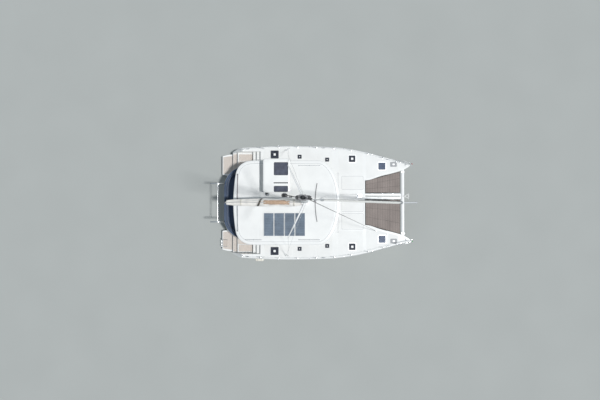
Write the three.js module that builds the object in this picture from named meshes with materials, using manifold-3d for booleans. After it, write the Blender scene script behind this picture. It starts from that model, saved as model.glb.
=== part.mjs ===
// Sailing catamaran afloat with its sails stowed, 12.8 m of hull and 7.7 m of beam.
// Frame in millimetres: +X to the bows, +Y to port, +Z up, origin at the waterline amidships.
import * as THREE from 'three';
import { mergeVertices } from 'three/addons/utils/BufferGeometryUtils.js';
import Module from 'manifold-3d';

const wasm = await Module();
wasm.setup();

// Driving dimensions
const GAP = 0.3;              // between pieces that seat on each other
const RUN = 6;                // round a lid or door that moves
const SOLE = 1300;            // cockpit and saloon floor
const DECK_AFT = 1800;        // side deck height aft
const DECK_AFT_X = -3600;     // the deck starts to rise forward of here
const DECK_RISE = 0.022;      // rise of the deck per unit of length
const TUNNEL = 800;           // underside of the bridgedeck
const BRIDGE_HALF = 1490;     // half width of the bridgedeck
const BRIDGE_AFT = -5980;
const BRIDGE_FORE = 3420;
const HULL_MID = 2620;        // distance of a hull's middle from the centreline
const KEEL_LINE = -640;       // bottom of the hull amidships
const ROOF_UNDER = 3160;
const ROOF_TOP = 3300;
const BULKHEAD = -2060;       // aft face of the saloon's after wall
const WALL = 60;
const CABIN_HALF = 2600;
const CABIN_NOSE = 200;       // where the rounded front of the cabin starts
const MAST_X = -520;
const MAST_TOP = 20350;
const MAST_RAKE = Math.tan(THREE.MathUtils.degToRad(1.2));
const BOOM_Z = 4400;

const deckZ = x => DECK_AFT + Math.max(0, x - DECK_AFT_X) * DECK_RISE;
const mastX = z => MAST_X - (z - ROOF_TOP) * MAST_RAKE;
const mix = (a, b, t) => a + (b - a) * t;
const v3 = (x, y, z) => new THREE.Vector3(x, y, z);

// Shape helpers
function solid(geometry) {
  const bare = new THREE.BufferGeometry();
  bare.setAttribute('position', geometry.getAttribute('position').clone());
  if (geometry.index) bare.setIndex(geometry.index.clone());
  const merged = mergeVertices(bare, 0.001);
  const index = merged.index.array;
  const triangles = [];
  for (let i = 0; i < index.length; i += 3) {
    const [a, b, c] = [index[i], index[i + 1], index[i + 2]];
    if (a !== b && b !== c && c !== a) triangles.push(a, b, c);
  }
  return new wasm.Manifold(new wasm.Mesh({
    numProp: 3,
    vertProperties: new Float32Array(merged.getAttribute('position').array),
    triVerts: new Uint32Array(triangles),
  }));
}

function geometryOf(manifold) {
  const mesh = manifold.getMesh();
  const geometry = new THREE.BufferGeometry();
  geometry.setAttribute('position', new THREE.BufferAttribute(new Float32Array(mesh.vertProperties), 3));
  geometry.setIndex(new THREE.BufferAttribute(new Uint32Array(mesh.triVerts), 1));
  geometry.computeVertexNormals();
  return geometry;
}

function boxGeometry(x0, x1, y0, y1, z0, z1) {
  const box = new THREE.BoxGeometry(Math.abs(x1 - x0), Math.abs(y1 - y0), Math.abs(z1 - z0));
  return box.translate((x0 + x1) / 2, (y0 + y1) / 2, (z0 + z1) / 2);
}
const block = (...sides) => solid(boxGeometry(...sides));

const polygon = points => new THREE.Shape(points.map(([a, b]) => new THREE.Vector2(a, b)));

// A plan outline raised from z0 to z1; a bevel, where given, stays inside the outline and the heights.
function raise(shape, z0, z1, bevel = 0, rim = bevel, curveSegments = 10) {
  const geometry = new THREE.ExtrudeGeometry(shape, {
    depth: z1 - z0 - 2 * bevel,
    bevelEnabled: bevel > 0,
    bevelThickness: bevel,
    bevelSize: rim,
    bevelOffset: -rim,
    bevelSegments: 2,
    curveSegments,
  });
  return solid(geometry.translate(0, 0, z0 + bevel));
}

// A side profile in X and Z, drawn out from y0 to y1.
function acrossY(points, y0, y1) {
  const geometry = new THREE.ExtrudeGeometry(polygon(points), { depth: y1 - y0, bevelEnabled: false });
  return solid(geometry.rotateX(Math.PI / 2).translate(0, y1, 0));
}

// An end profile in Y and Z, drawn out from x0 to x1.
function alongX(shape, x0, x1) {
  const geometry = new THREE.ExtrudeGeometry(shape, { depth: x1 - x0, bevelEnabled: false, curveSegments: 6 });
  const turn = new THREE.Matrix4().makeBasis(v3(0, 1, 0), v3(0, 0, 1), v3(1, 0, 0));
  return solid(geometry.applyMatrix4(turn).translate(x0, 0, 0));
}

function roundRect(x0, x1, y0, y1, r) {
  const shape = new THREE.Shape();
  shape.moveTo(x0 + r, y0);
  shape.lineTo(x1 - r, y0);
  shape.absarc(x1 - r, y0 + r, r, -Math.PI / 2, 0);
  shape.lineTo(x1, y1 - r);
  shape.absarc(x1 - r, y1 - r, r, 0, Math.PI / 2);
  shape.lineTo(x0 + r, y1);
  shape.absarc(x0 + r, y1 - r, r, Math.PI / 2, Math.PI);
  shape.lineTo(x0, y0 + r);
  shape.absarc(x0 + r, y0 + r, r, Math.PI, 1.5 * Math.PI);
  return shape;
}

// A slab with rounded corners in plan, cornered coarsely because it is small.
function slab(x0, x1, y0, y1, z0, z1, r) {
  const geometry = new THREE.ExtrudeGeometry(roundRect(x0, x1, y0, y1, r), {
    depth: z1 - z0, bevelEnabled: false, curveSegments: 3,
  });
  return solid(geometry.translate(0, 0, z0));
}

function rod(from, to, radius, sides = 8, endRadius = radius) {
  const along = to.clone().sub(from);
  const geometry = new THREE.CylinderGeometry(endRadius, radius, along.length(), sides);
  geometry.applyQuaternion(new THREE.Quaternion().setFromUnitVectors(v3(0, 1, 0), along.normalize()));
  return solid(geometry.translate(...from.clone().add(to).multiplyScalar(0.5).toArray()));
}

function bentTube(points, radius, steps, sides = 6) {
  const ring = new THREE.Shape();
  ring.absarc(0, 0, radius, 0, 2 * Math.PI);
  return solid(new THREE.ExtrudeGeometry(ring, {
    extrudePath: new THREE.CatmullRomCurve3(points, false, 'centripetal'),
    steps,
    curveSegments: sides / 2,
    bevelEnabled: false,
  }));
}

// Rings of equal length joined in order, the two ends closed by flat caps.
function loft(rings) {
  const count = rings[0].length;
  const flat = rings.flat();
  const positions = flat.flatMap(p => p.toArray());
  const index = [];
  for (let s = 0; s + 1 < rings.length; s++) {
    for (let k = 0; k < count; k++) {
      const a = s * count + k;
      const b = s * count + (k + 1) % count;
      index.push(a, b, b + count, a, b + count, a + count);
    }
  }
  const cap = (start, flip) => {
    const ring = flat.slice(start, start + count);
    const normal = v3(0, 0, 0);
    ring.forEach((p, k) => normal.add(p.clone().cross(ring[(k + 1) % count])));
    normal.normalize();
    const side = Math.abs(normal.z) > 0.7 ? v3(1, 0, 0) : v3(0, 0, 1).cross(normal).normalize();
    const up = normal.clone().cross(side);
    const drawn = ring.map(p => new THREE.Vector2(p.dot(side), p.dot(up)));
    for (const [a, b, c] of THREE.ShapeUtils.triangulateShape(drawn, [])) {
      if (flip) index.push(start + c, start + b, start + a);
      else index.push(start + a, start + b, start + c);
    }
  };
  cap(0, true);
  cap((rings.length - 1) * count, false);
  const geometry = new THREE.BufferGeometry();
  geometry.setAttribute('position', new THREE.Float32BufferAttribute(positions, 3));
  geometry.setIndex(index);
  const made = solid(geometry);
  if (made.volume() > 0) return made;
  for (let i = 0; i < index.length; i += 3) [index[i], index[i + 1]] = [index[i + 1], index[i]];
  geometry.setIndex(index);
  return solid(geometry);
}

// The same solid on the other side of the centreline.
function mirrored(manifold) {
  const geometry = geometryOf(manifold).scale(1, -1, 1);
  const index = geometry.index.array;
  for (let i = 0; i < index.length; i += 3) [index[i], index[i + 1]] = [index[i + 1], index[i]];
  return solid(geometry);
}

const join = pieces => pieces.reduce((all, piece) => all.add(piece));

// Materials
const finish = (color, roughness, metalness = 0) => new THREE.MeshStandardMaterial({ color, roughness, metalness });
const GELCOAT = finish('#f0f0ec', 0.25);
const DARK_GLASS = finish('#1d2430', 0.08);
const STEEL = finish('#c4c8cc', 0.2, 1);
const ALLOY = finish('#d8dadb', 0.35, 0.8);
const TEAK = finish('#d9c3ad', 0.6);
const NET = finish('#7d7269', 0.8);
const CANVAS = finish('#d8cdbd', 0.85);
const SAILCLOTH = finish('#e8e6df', 0.7);
const CUSHION = finish('#2a3548', 0.9);
const PANEL = finish('#5b6a80', 0.2);
const ANTIFOUL = finish('#27313c', 0.7);
const BRONZE = finish('#a8874a', 0.35, 0.9);
const ENGINE = finish('#8d9498', 0.5, 0.4);
const IRON = finish('#b9bcba', 0.45, 0.7);
const WOOD = finish('#b08a62', 0.5);

const boat = new THREE.Group();
boat.name = 'sailing_catamaran';
function put(name, manifold, material) {
  const mesh = new THREE.Mesh(geometryOf(manifold), material);
  mesh.name = name;
  boat.add(mesh);
}
const bothSides = (name, manifold, material) => {
  put(`${name}_port`, manifold, material);
  put(`${name}_starboard`, mirrored(manifold), material);
};

// Plan outlines, each drawn inset from its outer face
function cabinPlan(inset) {
  const shape = new THREE.Shape();
  shape.moveTo(BULKHEAD + inset, -(CABIN_HALF - inset));
  shape.lineTo(CABIN_NOSE, -(CABIN_HALF - inset));
  shape.absellipse(CABIN_NOSE, 0, 1200 - inset, CABIN_HALF - inset, -Math.PI / 2, Math.PI / 2);
  shape.lineTo(BULKHEAD + inset, CABIN_HALF - inset);
  return shape;
}

const COCKPIT_HALF = 2400;
const COCKPIT_CORNER = { x: -4600, y: 1000, a: 1380, b: 1400 };
function cockpitPlan(inset, fore) {
  const { x, y, a, b } = COCKPIT_CORNER;
  const shape = new THREE.Shape();
  shape.moveTo(fore, COCKPIT_HALF - inset);
  shape.lineTo(x, COCKPIT_HALF - inset);
  shape.absellipse(x, y, a - inset, b - inset, Math.PI / 2, Math.PI);
  shape.absellipse(x, -y, a - inset, b - inset, Math.PI, 1.5 * Math.PI);
  shape.lineTo(fore, -(COCKPIT_HALF - inset));
  return shape;
}

const ROOF = { half: 2690, aft: -5270, nose: 1420, sideAft: -3860 };
function roofPlan() {
  const { half, aft, nose, sideAft } = ROOF;
  const shape = new THREE.Shape();
  shape.moveTo(sideAft, -half);
  shape.lineTo(CABIN_NOSE, -half);
  shape.absellipse(CABIN_NOSE, 0, nose, half, -Math.PI / 2, Math.PI / 2);
  shape.lineTo(sideAft, half);
  shape.quadraticCurveTo(-4850, 2660, -5020, 1850);
  shape.quadraticCurveTo(aft - 65, 0, -5020, -1850);
  shape.quadraticCurveTo(-4850, -2660, sideAft, -half);
  return shape;
}

// Hull sections. outer and inner: deck edges. wlOut and wlIn: waterline. keel: lowest point.
// bridge: 1 where the section reaches in to the bridgedeck.
const STATIONS = [
  // x, outer, inner, wlOut, wlIn, keel, bridge
  [-6400, 3380, 1930, 3240, 1990, -140, 0],
  [-5981, 3560, 1900, 3300, 1930, -260, 0],
  [-5980, 3560, 1490, 3300, 1930, -260, 1],
  [-4000, 3760, 1490, 3370, 1870, -520, 1],
  [DECK_AFT_X, 3774, 1490, 3376, 1864, -545, 1],
  [-2000, 3830, 1490, 3400, 1840, KEEL_LINE, 1],
  [1300, 3745, 1490, 3350, 1870, KEEL_LINE, 1],
  [2550, 3580, 1490, 3260, 1930, -600, 1],
  [3420, 3400, 1490, 3150, 1990, -570, 1],
  [3421, 3400, 1490, 3150, 1990, -570, 0],
  [4520, 3110, 1792, 2960, 2130, -510, 0],
  [5920, 2720, 2180, 2690, 2360, -400, 0],
  [6300, 2610, 2380, 2595, 2450, -310, 0],
  [6430, 2550, 2490, 2540, 2500, -180, 0],
];

function hullRing([x, outer, inner, wlOut, wlIn, keel, bridge]) {
  const top = deckZ(x);
  const width = wlOut - wlIn;
  const middle = (wlOut + wlIn) / 2;
  const edge = Math.min(70, 0.3 * (outer - inner));
  const haunch = bridge ? [[wlIn - 60, 640], [BRIDGE_HALF, TUNNEL]]
    : [[mix(inner, wlIn, 0.5), 1150], [inner, top - 130]];
  const points = [
    [inner, top],
    [outer - edge, top],
    [outer, top - 90],
    [mix(wlOut, outer, 0.72), 950],
    [mix(wlOut, outer, 0.25), 330],
    [wlOut, -60],
    [wlOut - 0.15 * width, 0.65 * keel],
    [middle + 0.14 * width, keel],
    [middle - 0.14 * width, keel],
    [wlIn + 0.15 * width, 0.65 * keel],
    [wlIn, -60],
    [wlIn - 15, 350],
    ...haunch,
  ];
  return points.map(([y, z]) => v3(x, y, z));
}

// Stern steps of one hull: the air above the treads, outboard of the cockpit's corner
const STEPS = [
  // riser x, tread height aft of it
  [-5610, 450], [-5240, 750], [-4140, 1050], [-3870, 1300], [-3590, 1550],
];
const COAMING_IN = 3430;      // inner face of the outboard coaming beside the steps
const SHOULDER = { inner: 1900, top: 1000 };      // moulding between the platform and the cockpit
function sternAir() {
  const high = 3000;
  const far = -7000;
  const stairs = [[far, STEPS[0][1]]];
  STEPS.forEach(([x, z], i) => {
    stairs.push([x, z]);
    if (i + 1 < STEPS.length) stairs.push([x, STEPS[i + 1][1]]);
  });
  const last = STEPS[STEPS.length - 1][0];
  stairs.push([last, high], [far, high]);
  const inside = raise(polygon([[far, 0], [far, 4200], [STEPS[0][0], 4200], [STEPS[0][0], COAMING_IN],
    [last, COAMING_IN + 40], [last, 0]]), 0, high);
  const slope = [[far, 450], [-5950, 450], [-4850, 1790], [-4750, high], [far, high]];
  const cockpit = raise(cockpitPlan(0, 0), -100, high + 100);
  const shoulder = block(BRIDGE_AFT, STEPS[0][0], 0, SHOULDER.inner, -100, SHOULDER.top);
  const treads = acrossY(stairs, 0, 4200).intersect(inside);
  return treads.add(acrossY(slope, 0, 4200)).subtract(cockpit.add(shoulder));
}

// Opening hatches of one side. x, y: centre. size: side of the square lid.
const HATCHES = [
  // name, x, y, size
  ['aft', -2630, 3240, 540],
  ['saloon', 2560, 2940, 440],
  ['forward', 4545, 2440, 480],
];
const HATCH_PAD = 16;         // height of the moulded pad that a lid lies on
const hatchTop = x => deckZ(x) + HATCH_PAD;

// Engine lid and the bay under it, port side
const ENGINE_LID = { x0: -5180, x1: -4180, y0: 2880, y1: 3370, thick: 40 };
const ENGINE_BAY = { x0: -5200, x1: -4160, y0: 2300, y1: 3230, z0: 60, z1: 860 };
const LEG = { x: -4330, y: HULL_MID, shaftZ: -820, propX: -4625 };
const RUDDER = { x: -5600, top: -370, bottom: -1160, stock: 35 };

function wingRing(x0, x1, y, z, thick, sides = 5) {
  const ring = [];
  for (const side of [1, -1]) {
    for (let k = 0; k <= sides; k++) {
      const t = side > 0 ? k / sides : 1 - k / sides;
      if (side < 0 && (k === 0 || k === sides)) continue;
      const bulge = 2.6 * Math.sqrt(t) * (1 - t);
      ring.push(v3(mix(x1, x0, t), y + side * bulge * thick / 2, z));
    }
  }
  return ring;
}

function legSolid(grow) {
  const top = wingRing(LEG.x - 190 - grow, LEG.x + 150 + grow, LEG.y, 80, 130 + 2 * grow);
  const foot = wingRing(LEG.x - 190 - grow, LEG.x + 120 + grow, LEG.y, LEG.shaftZ, 110 + 2 * grow);
  return loft([foot, top]);
}

const BEAM = { x: 5940, half: 120, z0: 1790, z1: 1970, tip: 2330 };
function beamSolid(grow) {
  return acrossEllipse(BEAM.x, (BEAM.z0 + BEAM.z1) / 2, BEAM.half + grow, (BEAM.z1 - BEAM.z0) / 2 + grow,
    -BEAM.tip - grow, BEAM.tip + grow);
}
function acrossEllipse(x, z, a, b, y0, y1) {
  const ring = y => Array.from({ length: 12 }, (_, k) => {
    const angle = (k / 12) * 2 * Math.PI;
    return v3(x + a * Math.cos(angle), y, z + b * Math.sin(angle));
  });
  return loft([ring(y0), ring(y1)]);
}

// Hulls
const saloonAir = raise(cabinPlan(-GAP), SOLE, 3000);
const cockpitAir = raise(cockpitPlan(120, BULKHEAD), SOLE, 3000);

function hull() {
  let body = loft(STATIONS.map(hullRing)).subtract(sternAir());
  for (const [, x, y, size] of HATCHES) {
    const pad = size / 2 + 30;
    body = body.add(slab(x - pad, x + pad, y - pad, y + pad, deckZ(x) - 60, hatchTop(x), 40));
  }
  for (const [, x, y, size] of HATCHES) {
    const well = size / 2 - 40;
    body = body.subtract(slab(x - well, x + well, y - well, y + well, deckZ(x) - 300, hatchTop(x) + 50, 30));
  }
  const lid = ENGINE_LID;
  const lidTop = STEPS[2][1];
  const bay = ENGINE_BAY;
  body = body
    .subtract(saloonAir)
    .subtract(cockpitAir)
    .subtract(block(lid.x0 - RUN, lid.x1 + RUN, lid.y0 - RUN, lid.y1 + RUN, lidTop - lid.thick, 1200))
    .subtract(block(lid.x0 + 40, lid.x1 - 40, lid.y0 + 40, lid.y1 - 40, bay.z1 - 10, 1200))
    .subtract(block(bay.x0, bay.x1, bay.y0, bay.y1, bay.z0, bay.z1))
    .subtract(legSolid(GAP))
    .subtract(rod(v3(RUDDER.x, HULL_MID, -600), v3(RUDDER.x, HULL_MID, -150), RUDDER.stock + 0.9, 16))
    .subtract(beamSolid(GAP));
  return body;
}
// The starboard hull also carries the swim ladder's two hinge lugs.
const LADDER = { x: -6440, z: 500, y0: -3060, y1: -2600, long: 430, pin: 12 };
function ladderLugs() {
  const lug = y => block(LADDER.x - 25, -6370, y - 6, y + 6, 440, LADDER.z + 22);
  const pin = rod(v3(LADDER.x, LADDER.y0 - 100, LADDER.z), v3(LADDER.x, LADDER.y1 + 100, LADDER.z), LADDER.pin + 0.4, 16);
  return lug(LADDER.y0 - 32).add(lug(LADDER.y1 + 32)).subtract(pin);
}
const hullPort = hull();
put('hull_port', hullPort, GELCOAT);
put('hull_starboard', mirrored(hullPort).add(ladderLugs()), GELCOAT);

// Bridgedeck
const bridgeProfile = [
  [BRIDGE_AFT, TUNNEL], [2950, TUNNEL], [BRIDGE_FORE, 1150], [BRIDGE_FORE, deckZ(BRIDGE_FORE)],
  [DECK_AFT_X, DECK_AFT], [BRIDGE_AFT, DECK_AFT],
];
const bridgeHalf = BRIDGE_HALF - GAP;
put('bridgedeck', acrossY(bridgeProfile, -bridgeHalf, bridgeHalf)
  .intersect(raise(cockpitPlan(0, BRIDGE_FORE + 50), 0, 3000))
  .subtract(saloonAir).subtract(cockpitAir), GELCOAT);

// Keels
const keelSection = (x0, x1, z, thick) => wingRing(x0, x1, HULL_MID, z, thick, 6);
bothSides('keel', loft([
  keelSection(-1500, 1000, -1280, 200),
  keelSection(-1900, 1250, KEEL_LINE - GAP, 330),
]), ANTIFOUL);

// Engine and saildrive leg, one unit through the hull's bottom
const engine = join([
  slab(LEG.x - 780, LEG.x + 120, LEG.y - 240, LEG.y + 240, 80, 640, 60),
  legSolid(0),
  rod(v3(LEG.x - 200, LEG.y, LEG.shaftZ), v3(LEG.x + 210, LEG.y, LEG.shaftZ), 62, 12, 40),
]);
const hubBore = rod(v3(LEG.x - 260, LEG.y, LEG.shaftZ), v3(LEG.x - 120, LEG.y, LEG.shaftZ), 15.9, 12);
bothSides('engine_and_saildrive', engine.subtract(hubBore), ENGINE);

// Propellers: hub, shaft and three blades
function propeller() {
  const pieces = [
    rod(v3(LEG.propX - 60, LEG.y, LEG.shaftZ), v3(LEG.x - 205, LEG.y, LEG.shaftZ), 40, 12, 55),
    rod(v3(LEG.propX, LEG.y, LEG.shaftZ), v3(LEG.x - 130, LEG.y, LEG.shaftZ), 15, 12),
  ];
  for (let k = 0; k < 3; k++) {
    const blade = new THREE.BoxGeometry(16, 120, 165);
    blade.translate(0, 0, 115);
    blade.rotateZ(THREE.MathUtils.degToRad(32));
    blade.rotateX((k / 3) * 2 * Math.PI);
    pieces.push(solid(blade.translate(LEG.propX, LEG.y, LEG.shaftZ)));
  }
  return join(pieces);
}
bothSides('propeller', propeller(), BRONZE);

// Rudders: spade blade on a stock
const rudder = loft([
  wingRing(RUDDER.x - 270, RUDDER.x + 110, HULL_MID, RUDDER.bottom, 60),
  wingRing(RUDDER.x - 340, RUDDER.x + 150, HULL_MID, RUDDER.top, 90),
]).add(rod(v3(RUDDER.x, HULL_MID, RUDDER.top - 60), v3(RUDDER.x, HULL_MID, -160), RUDDER.stock, 16));
bothSides('rudder', rudder, ANTIFOUL);

// Lids
for (const [name, x, y, size] of HATCHES) {
  const half = size / 2;
  const lid = slab(x - half, x + half, y - half, y + half, hatchTop(x) + GAP, hatchTop(x) + 32, 40);
  bothSides(`hatch_lid_${name}`, lid, DARK_GLASS);
}
bothSides('engine_lid', block(ENGINE_LID.x0, ENGINE_LID.x1, ENGINE_LID.y0, ENGINE_LID.y1,
  STEPS[2][1] - ENGINE_LID.thick + GAP, STEPS[2][1]), TEAK);

// Cabin: walls, window band, doorway
const WINDOW = { z0: 2180, z1: 2920, aft: -1750, rebate: 14 };
const DOORWAY = { y0: -1300, y1: -150, z0: 1345, z1: 3090 };
const DOOR = { x0: BULKHEAD - 46, x1: BULKHEAD - 6, y0: -1340, y1: -110, z0: SOLE + 20, z1: 3125, travel: 900 };
function windowBand(inset, depth, lip) {
  const outer = raise(cabinPlan(inset), WINDOW.z0 - lip, WINDOW.z1 + lip);
  const inner = raise(cabinPlan(inset + depth), WINDOW.z0 - lip - 10, WINDOW.z1 + lip + 10);
  const keep = block(WINDOW.aft - lip, 3000, -4000, 4000, 0, 4000);
  return outer.subtract(inner).intersect(keep);
}
const MULLIONS = [-750, 150];              // x of the pairs in the side walls
const FRONT_MULLIONS = [0, 34, -34, 64, -64]; // degrees round the cabin's nose
function mullions() {
  const posts = MULLIONS.map(x => block(x - 35, x + 35, -4000, 4000, 0, 4000));
  for (const angle of FRONT_MULLIONS) {
    const turn = THREE.MathUtils.degToRad(angle);
    const ray = v3(1200 * Math.cos(turn), CABIN_HALF * Math.sin(turn), 0);
    const bar = new THREE.BoxGeometry(2400, 70, 4000).translate(0, 0, 2000);
    bar.rotateZ(Math.atan2(ray.y, ray.x));
    posts.push(solid(bar.translate(CABIN_NOSE + ray.x, ray.y, 0)));
  }
  return join(posts);
}
function cabinShell() {
  const walls = raise(cabinPlan(0), SOLE + GAP, ROOF_UNDER - GAP);
  const room = raise(cabinPlan(WALL), SOLE - 10, ROOF_UNDER + 10);
  const panes = windowBand(-50, WALL + 100, -40).subtract(mullions());
  return walls.subtract(room)
    .subtract(windowBand(-50, 50 + WINDOW.rebate, GAP))
    .subtract(panes)
    .subtract(block(BULKHEAD - 50, BULKHEAD + WALL + 50, DOORWAY.y0, DOORWAY.y1, DOORWAY.z0, DOORWAY.z1))
    .subtract(block(BULKHEAD - 50, BULKHEAD + WALL + 50, -2350, -1620, 2180, 2920))
    .add(block(DOOR.x0 - 4, BULKHEAD + 5, DOOR.y0 - DOOR.travel, DOOR.y1, SOLE + GAP, DOOR.z0 - GAP));
}
put('cabin_shell', cabinShell(), GELCOAT);
put('cabin_glazing', windowBand(0, WINDOW.rebate - GAP, 0), DARK_GLASS);

// Sliding door on the after wall
function door() {
  const { x0, x1, y0, y1, z0, z1 } = DOOR;
  const pane = block(x0 - 10, x1 + 10, y0 + 80, y1 - 80, z0 + 110, z1 - 90);
  const glass = block(x0 + 14, x1 - 14, y0 + 70, y1 - 70, z0 + 100, z1 - 80);
  return block(x0, x1, y0, y1, z0, z1).subtract(pane).add(glass);
}
put('sliding_door', door(), ALLOY);

// Roof and hardtop with the helm opening
const HELM = { x0: -3200, x1: -2075, y0: 790, y1: 2410 };
put('roof', raise(roofPlan(), ROOF_UNDER, ROOF_TOP, 45, 110)
  .subtract(block(HELM.x0, HELM.x1, HELM.y0, HELM.y1, 3000, 3400)), GELCOAT);

// Cockpit coaming with the hardtop's struts
const COAMING = { thick: 120, fore: -4250, top: 2080 };
function coaming() {
  const ring = raise(cockpitPlan(0, COAMING.fore), DECK_AFT + GAP, COAMING.top)
    .subtract(raise(cockpitPlan(COAMING.thick, COAMING.fore + 50), DECK_AFT - 10, COAMING.top + 10));
  const strut = rod(v3(-4560, 2340, COAMING.top - 18), v3(-4150, 2180, ROOF_UNDER + 80), 62, 10)
    .intersect(block(-6000, 0, -3000, 3000, 1900, ROOF_UNDER - GAP));
  return join([ring, strut, mirrored(strut)]);
}
put('cockpit_coaming', coaming(), GELCOAT);

// Cockpit seats: a U-shaped bench against the coaming, cushions on it, and a table
const BENCH = { depth: 560, top: 1700, fore: -3350 };
const benchRing = (wall, depth, fore, z0, z1) => raise(cockpitPlan(wall, fore), z0, z1)
  .subtract(raise(cockpitPlan(wall + depth, fore + 50), z0 - 10, z1 + 10));
put('cockpit_bench', benchRing(122, BENCH.depth, BENCH.fore, SOLE + GAP, BENCH.top), GELCOAT);
const seatPad = benchRing(126, BENCH.depth - 20, BENCH.fore - 10, BENCH.top + GAP, BENCH.top + 100);
const backPad = benchRing(126, 90, COAMING.fore - 20, BENCH.top + 90, COAMING.top - 20);
put('cockpit_cushions', seatPad.add(backPad), CUSHION);
put('cockpit_table', join([
  slab(-4950, -3750, -550, 550, 2010, 2050, 80),
  rod(v3(-4350, 0, SOLE + GAP), v3(-4350, 0, 2020), 55, 12),
  rod(v3(-4350, 0, SOLE + GAP), v3(-4350, 0, SOLE + 20), 190, 16),
]), WOOD);

// Helm station: raised floor with a step, console, seat locker
const HELM_FLOOR = 2100;
const HELM_SIDE = 2270;
const WHEEL = { x: -2440, y: 1600, z: 2930, r: 370, tube: 15 };
const helmStation = join([
  block(-3150, BULKHEAD - 16, 1100, HELM_SIDE, SOLE + GAP, HELM_FLOOR),
  block(-2800, BULKHEAD - 60, 810, 1110, SOLE + GAP, 1720),
  acrossY([[-2330, HELM_FLOOR - 10], [BULKHEAD - 16, HELM_FLOOR - 10], [BULKHEAD - 16, 3400], [-2180, 3400],
    [-2270, 3200]], 1120, 2080),
  block(-3150, -2780, 1100, HELM_SIDE, HELM_FLOOR - 10, 2560),
]).subtract(rod(v3(-2500, WHEEL.y, WHEEL.z), v3(-2200, WHEEL.y, WHEEL.z), 21, 16));
put('helm_station', helmStation, GELCOAT);
put('helm_seat', join([
  slab(-3140, -2770, 1110, HELM_SIDE - 10, 2560 + GAP, 2660, 60),
  slab(-3145, -3055, 1110, HELM_SIDE - 10, 2600, 3060, 40),
]), CUSHION);
function wheel() {
  const rim = new THREE.LatheGeometry(Array.from({ length: 7 }, (_, k) => {
    const angle = (k / 6) * 2 * Math.PI;
    return new THREE.Vector2(WHEEL.r - WHEEL.tube + WHEEL.tube * Math.cos(angle), WHEEL.tube * Math.sin(angle));
  }), 28);
  rim.rotateZ(-Math.PI / 2).translate(WHEEL.x, WHEEL.y, WHEEL.z);
  const made = solid(rim);
  const centre = v3(WHEEL.x, WHEEL.y, WHEEL.z);
  const pieces = [made.volume() > 0 ? made : solid(rim.scale(1, 1, 1)),
    rod(v3(WHEEL.x - 30, WHEEL.y, WHEEL.z), v3(WHEEL.x + 60, WHEEL.y, WHEEL.z), 45, 12),
    rod(v3(WHEEL.x, WHEEL.y, WHEEL.z), v3(-2215, WHEEL.y, WHEEL.z), 20, 16)];
  for (let k = 0; k < 5; k++) {
    const angle = (k / 5) * 2 * Math.PI;
    const end = v3(0, Math.sin(angle), Math.cos(angle)).multiplyScalar(WHEEL.r - WHEEL.tube).add(centre);
    pieces.push(rod(centre.clone(), end, 9, 6));
  }
  return join(pieces);
}
put('helm_wheel', wheel(), STEEL);

// Hard canopy over the helm on four posts
const BIMINI = { x0: -3215, x1: -1545, y0: 610, y1: 2710, z0: 4020, z1: 4100 };
const biminiFeet = [[-3235 + 90, 690], [-3145, 2520], [-1700, 690], [-1700, 2520]];
put('helm_canopy', join([
  raise(roundRect(BIMINI.x0, BIMINI.x1, BIMINI.y0, BIMINI.y1, 160), BIMINI.z0, BIMINI.z1, 25, 40, 3),
  ...biminiFeet.map(([x, y]) => rod(v3(x, y, ROOF_TOP + GAP), v3(x, y, BIMINI.z0 + 20), 17, 8)),
  ...biminiFeet.map(([x, y]) => rod(v3(x, y, ROOF_TOP + GAP), v3(x, y, ROOF_TOP + 12), 45, 10)),
]), GELCOAT);

// Saloon furniture seen through the glass
put('saloon_furniture', join([
  raise(cabinPlan(WALL + 12), SOLE + GAP, 1720)
    .subtract(raise(cabinPlan(WALL + 640), SOLE - 10, 1800))
    .subtract(block(-2100, -1950, -4000, 4000, 1200, 1800))
    .subtract(block(-2500, -1300, -1500, 1500, 1200, 1800)),
  block(-1250, 0, -2500, -1850, SOLE + GAP, 2160),
  rod(v3(MAST_X, 0, SOLE + GAP), v3(MAST_X, 0, ROOF_UNDER - GAP), 50, 12),
  block(MAST_X - 60, 700, -40, 40, SOLE + GAP, SOLE + 40),
]), WOOD);
put('saloon_table', join([
  slab(-900, 300, 550, 1650, 2000, 2040, 80),
  rod(v3(-300, 1100, SOLE + GAP), v3(-300, 1100, 2010), 50, 12),
  rod(v3(-300, 1100, SOLE + GAP), v3(-300, 1100, SOLE + 20), 160, 16),
]), WOOD);

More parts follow.
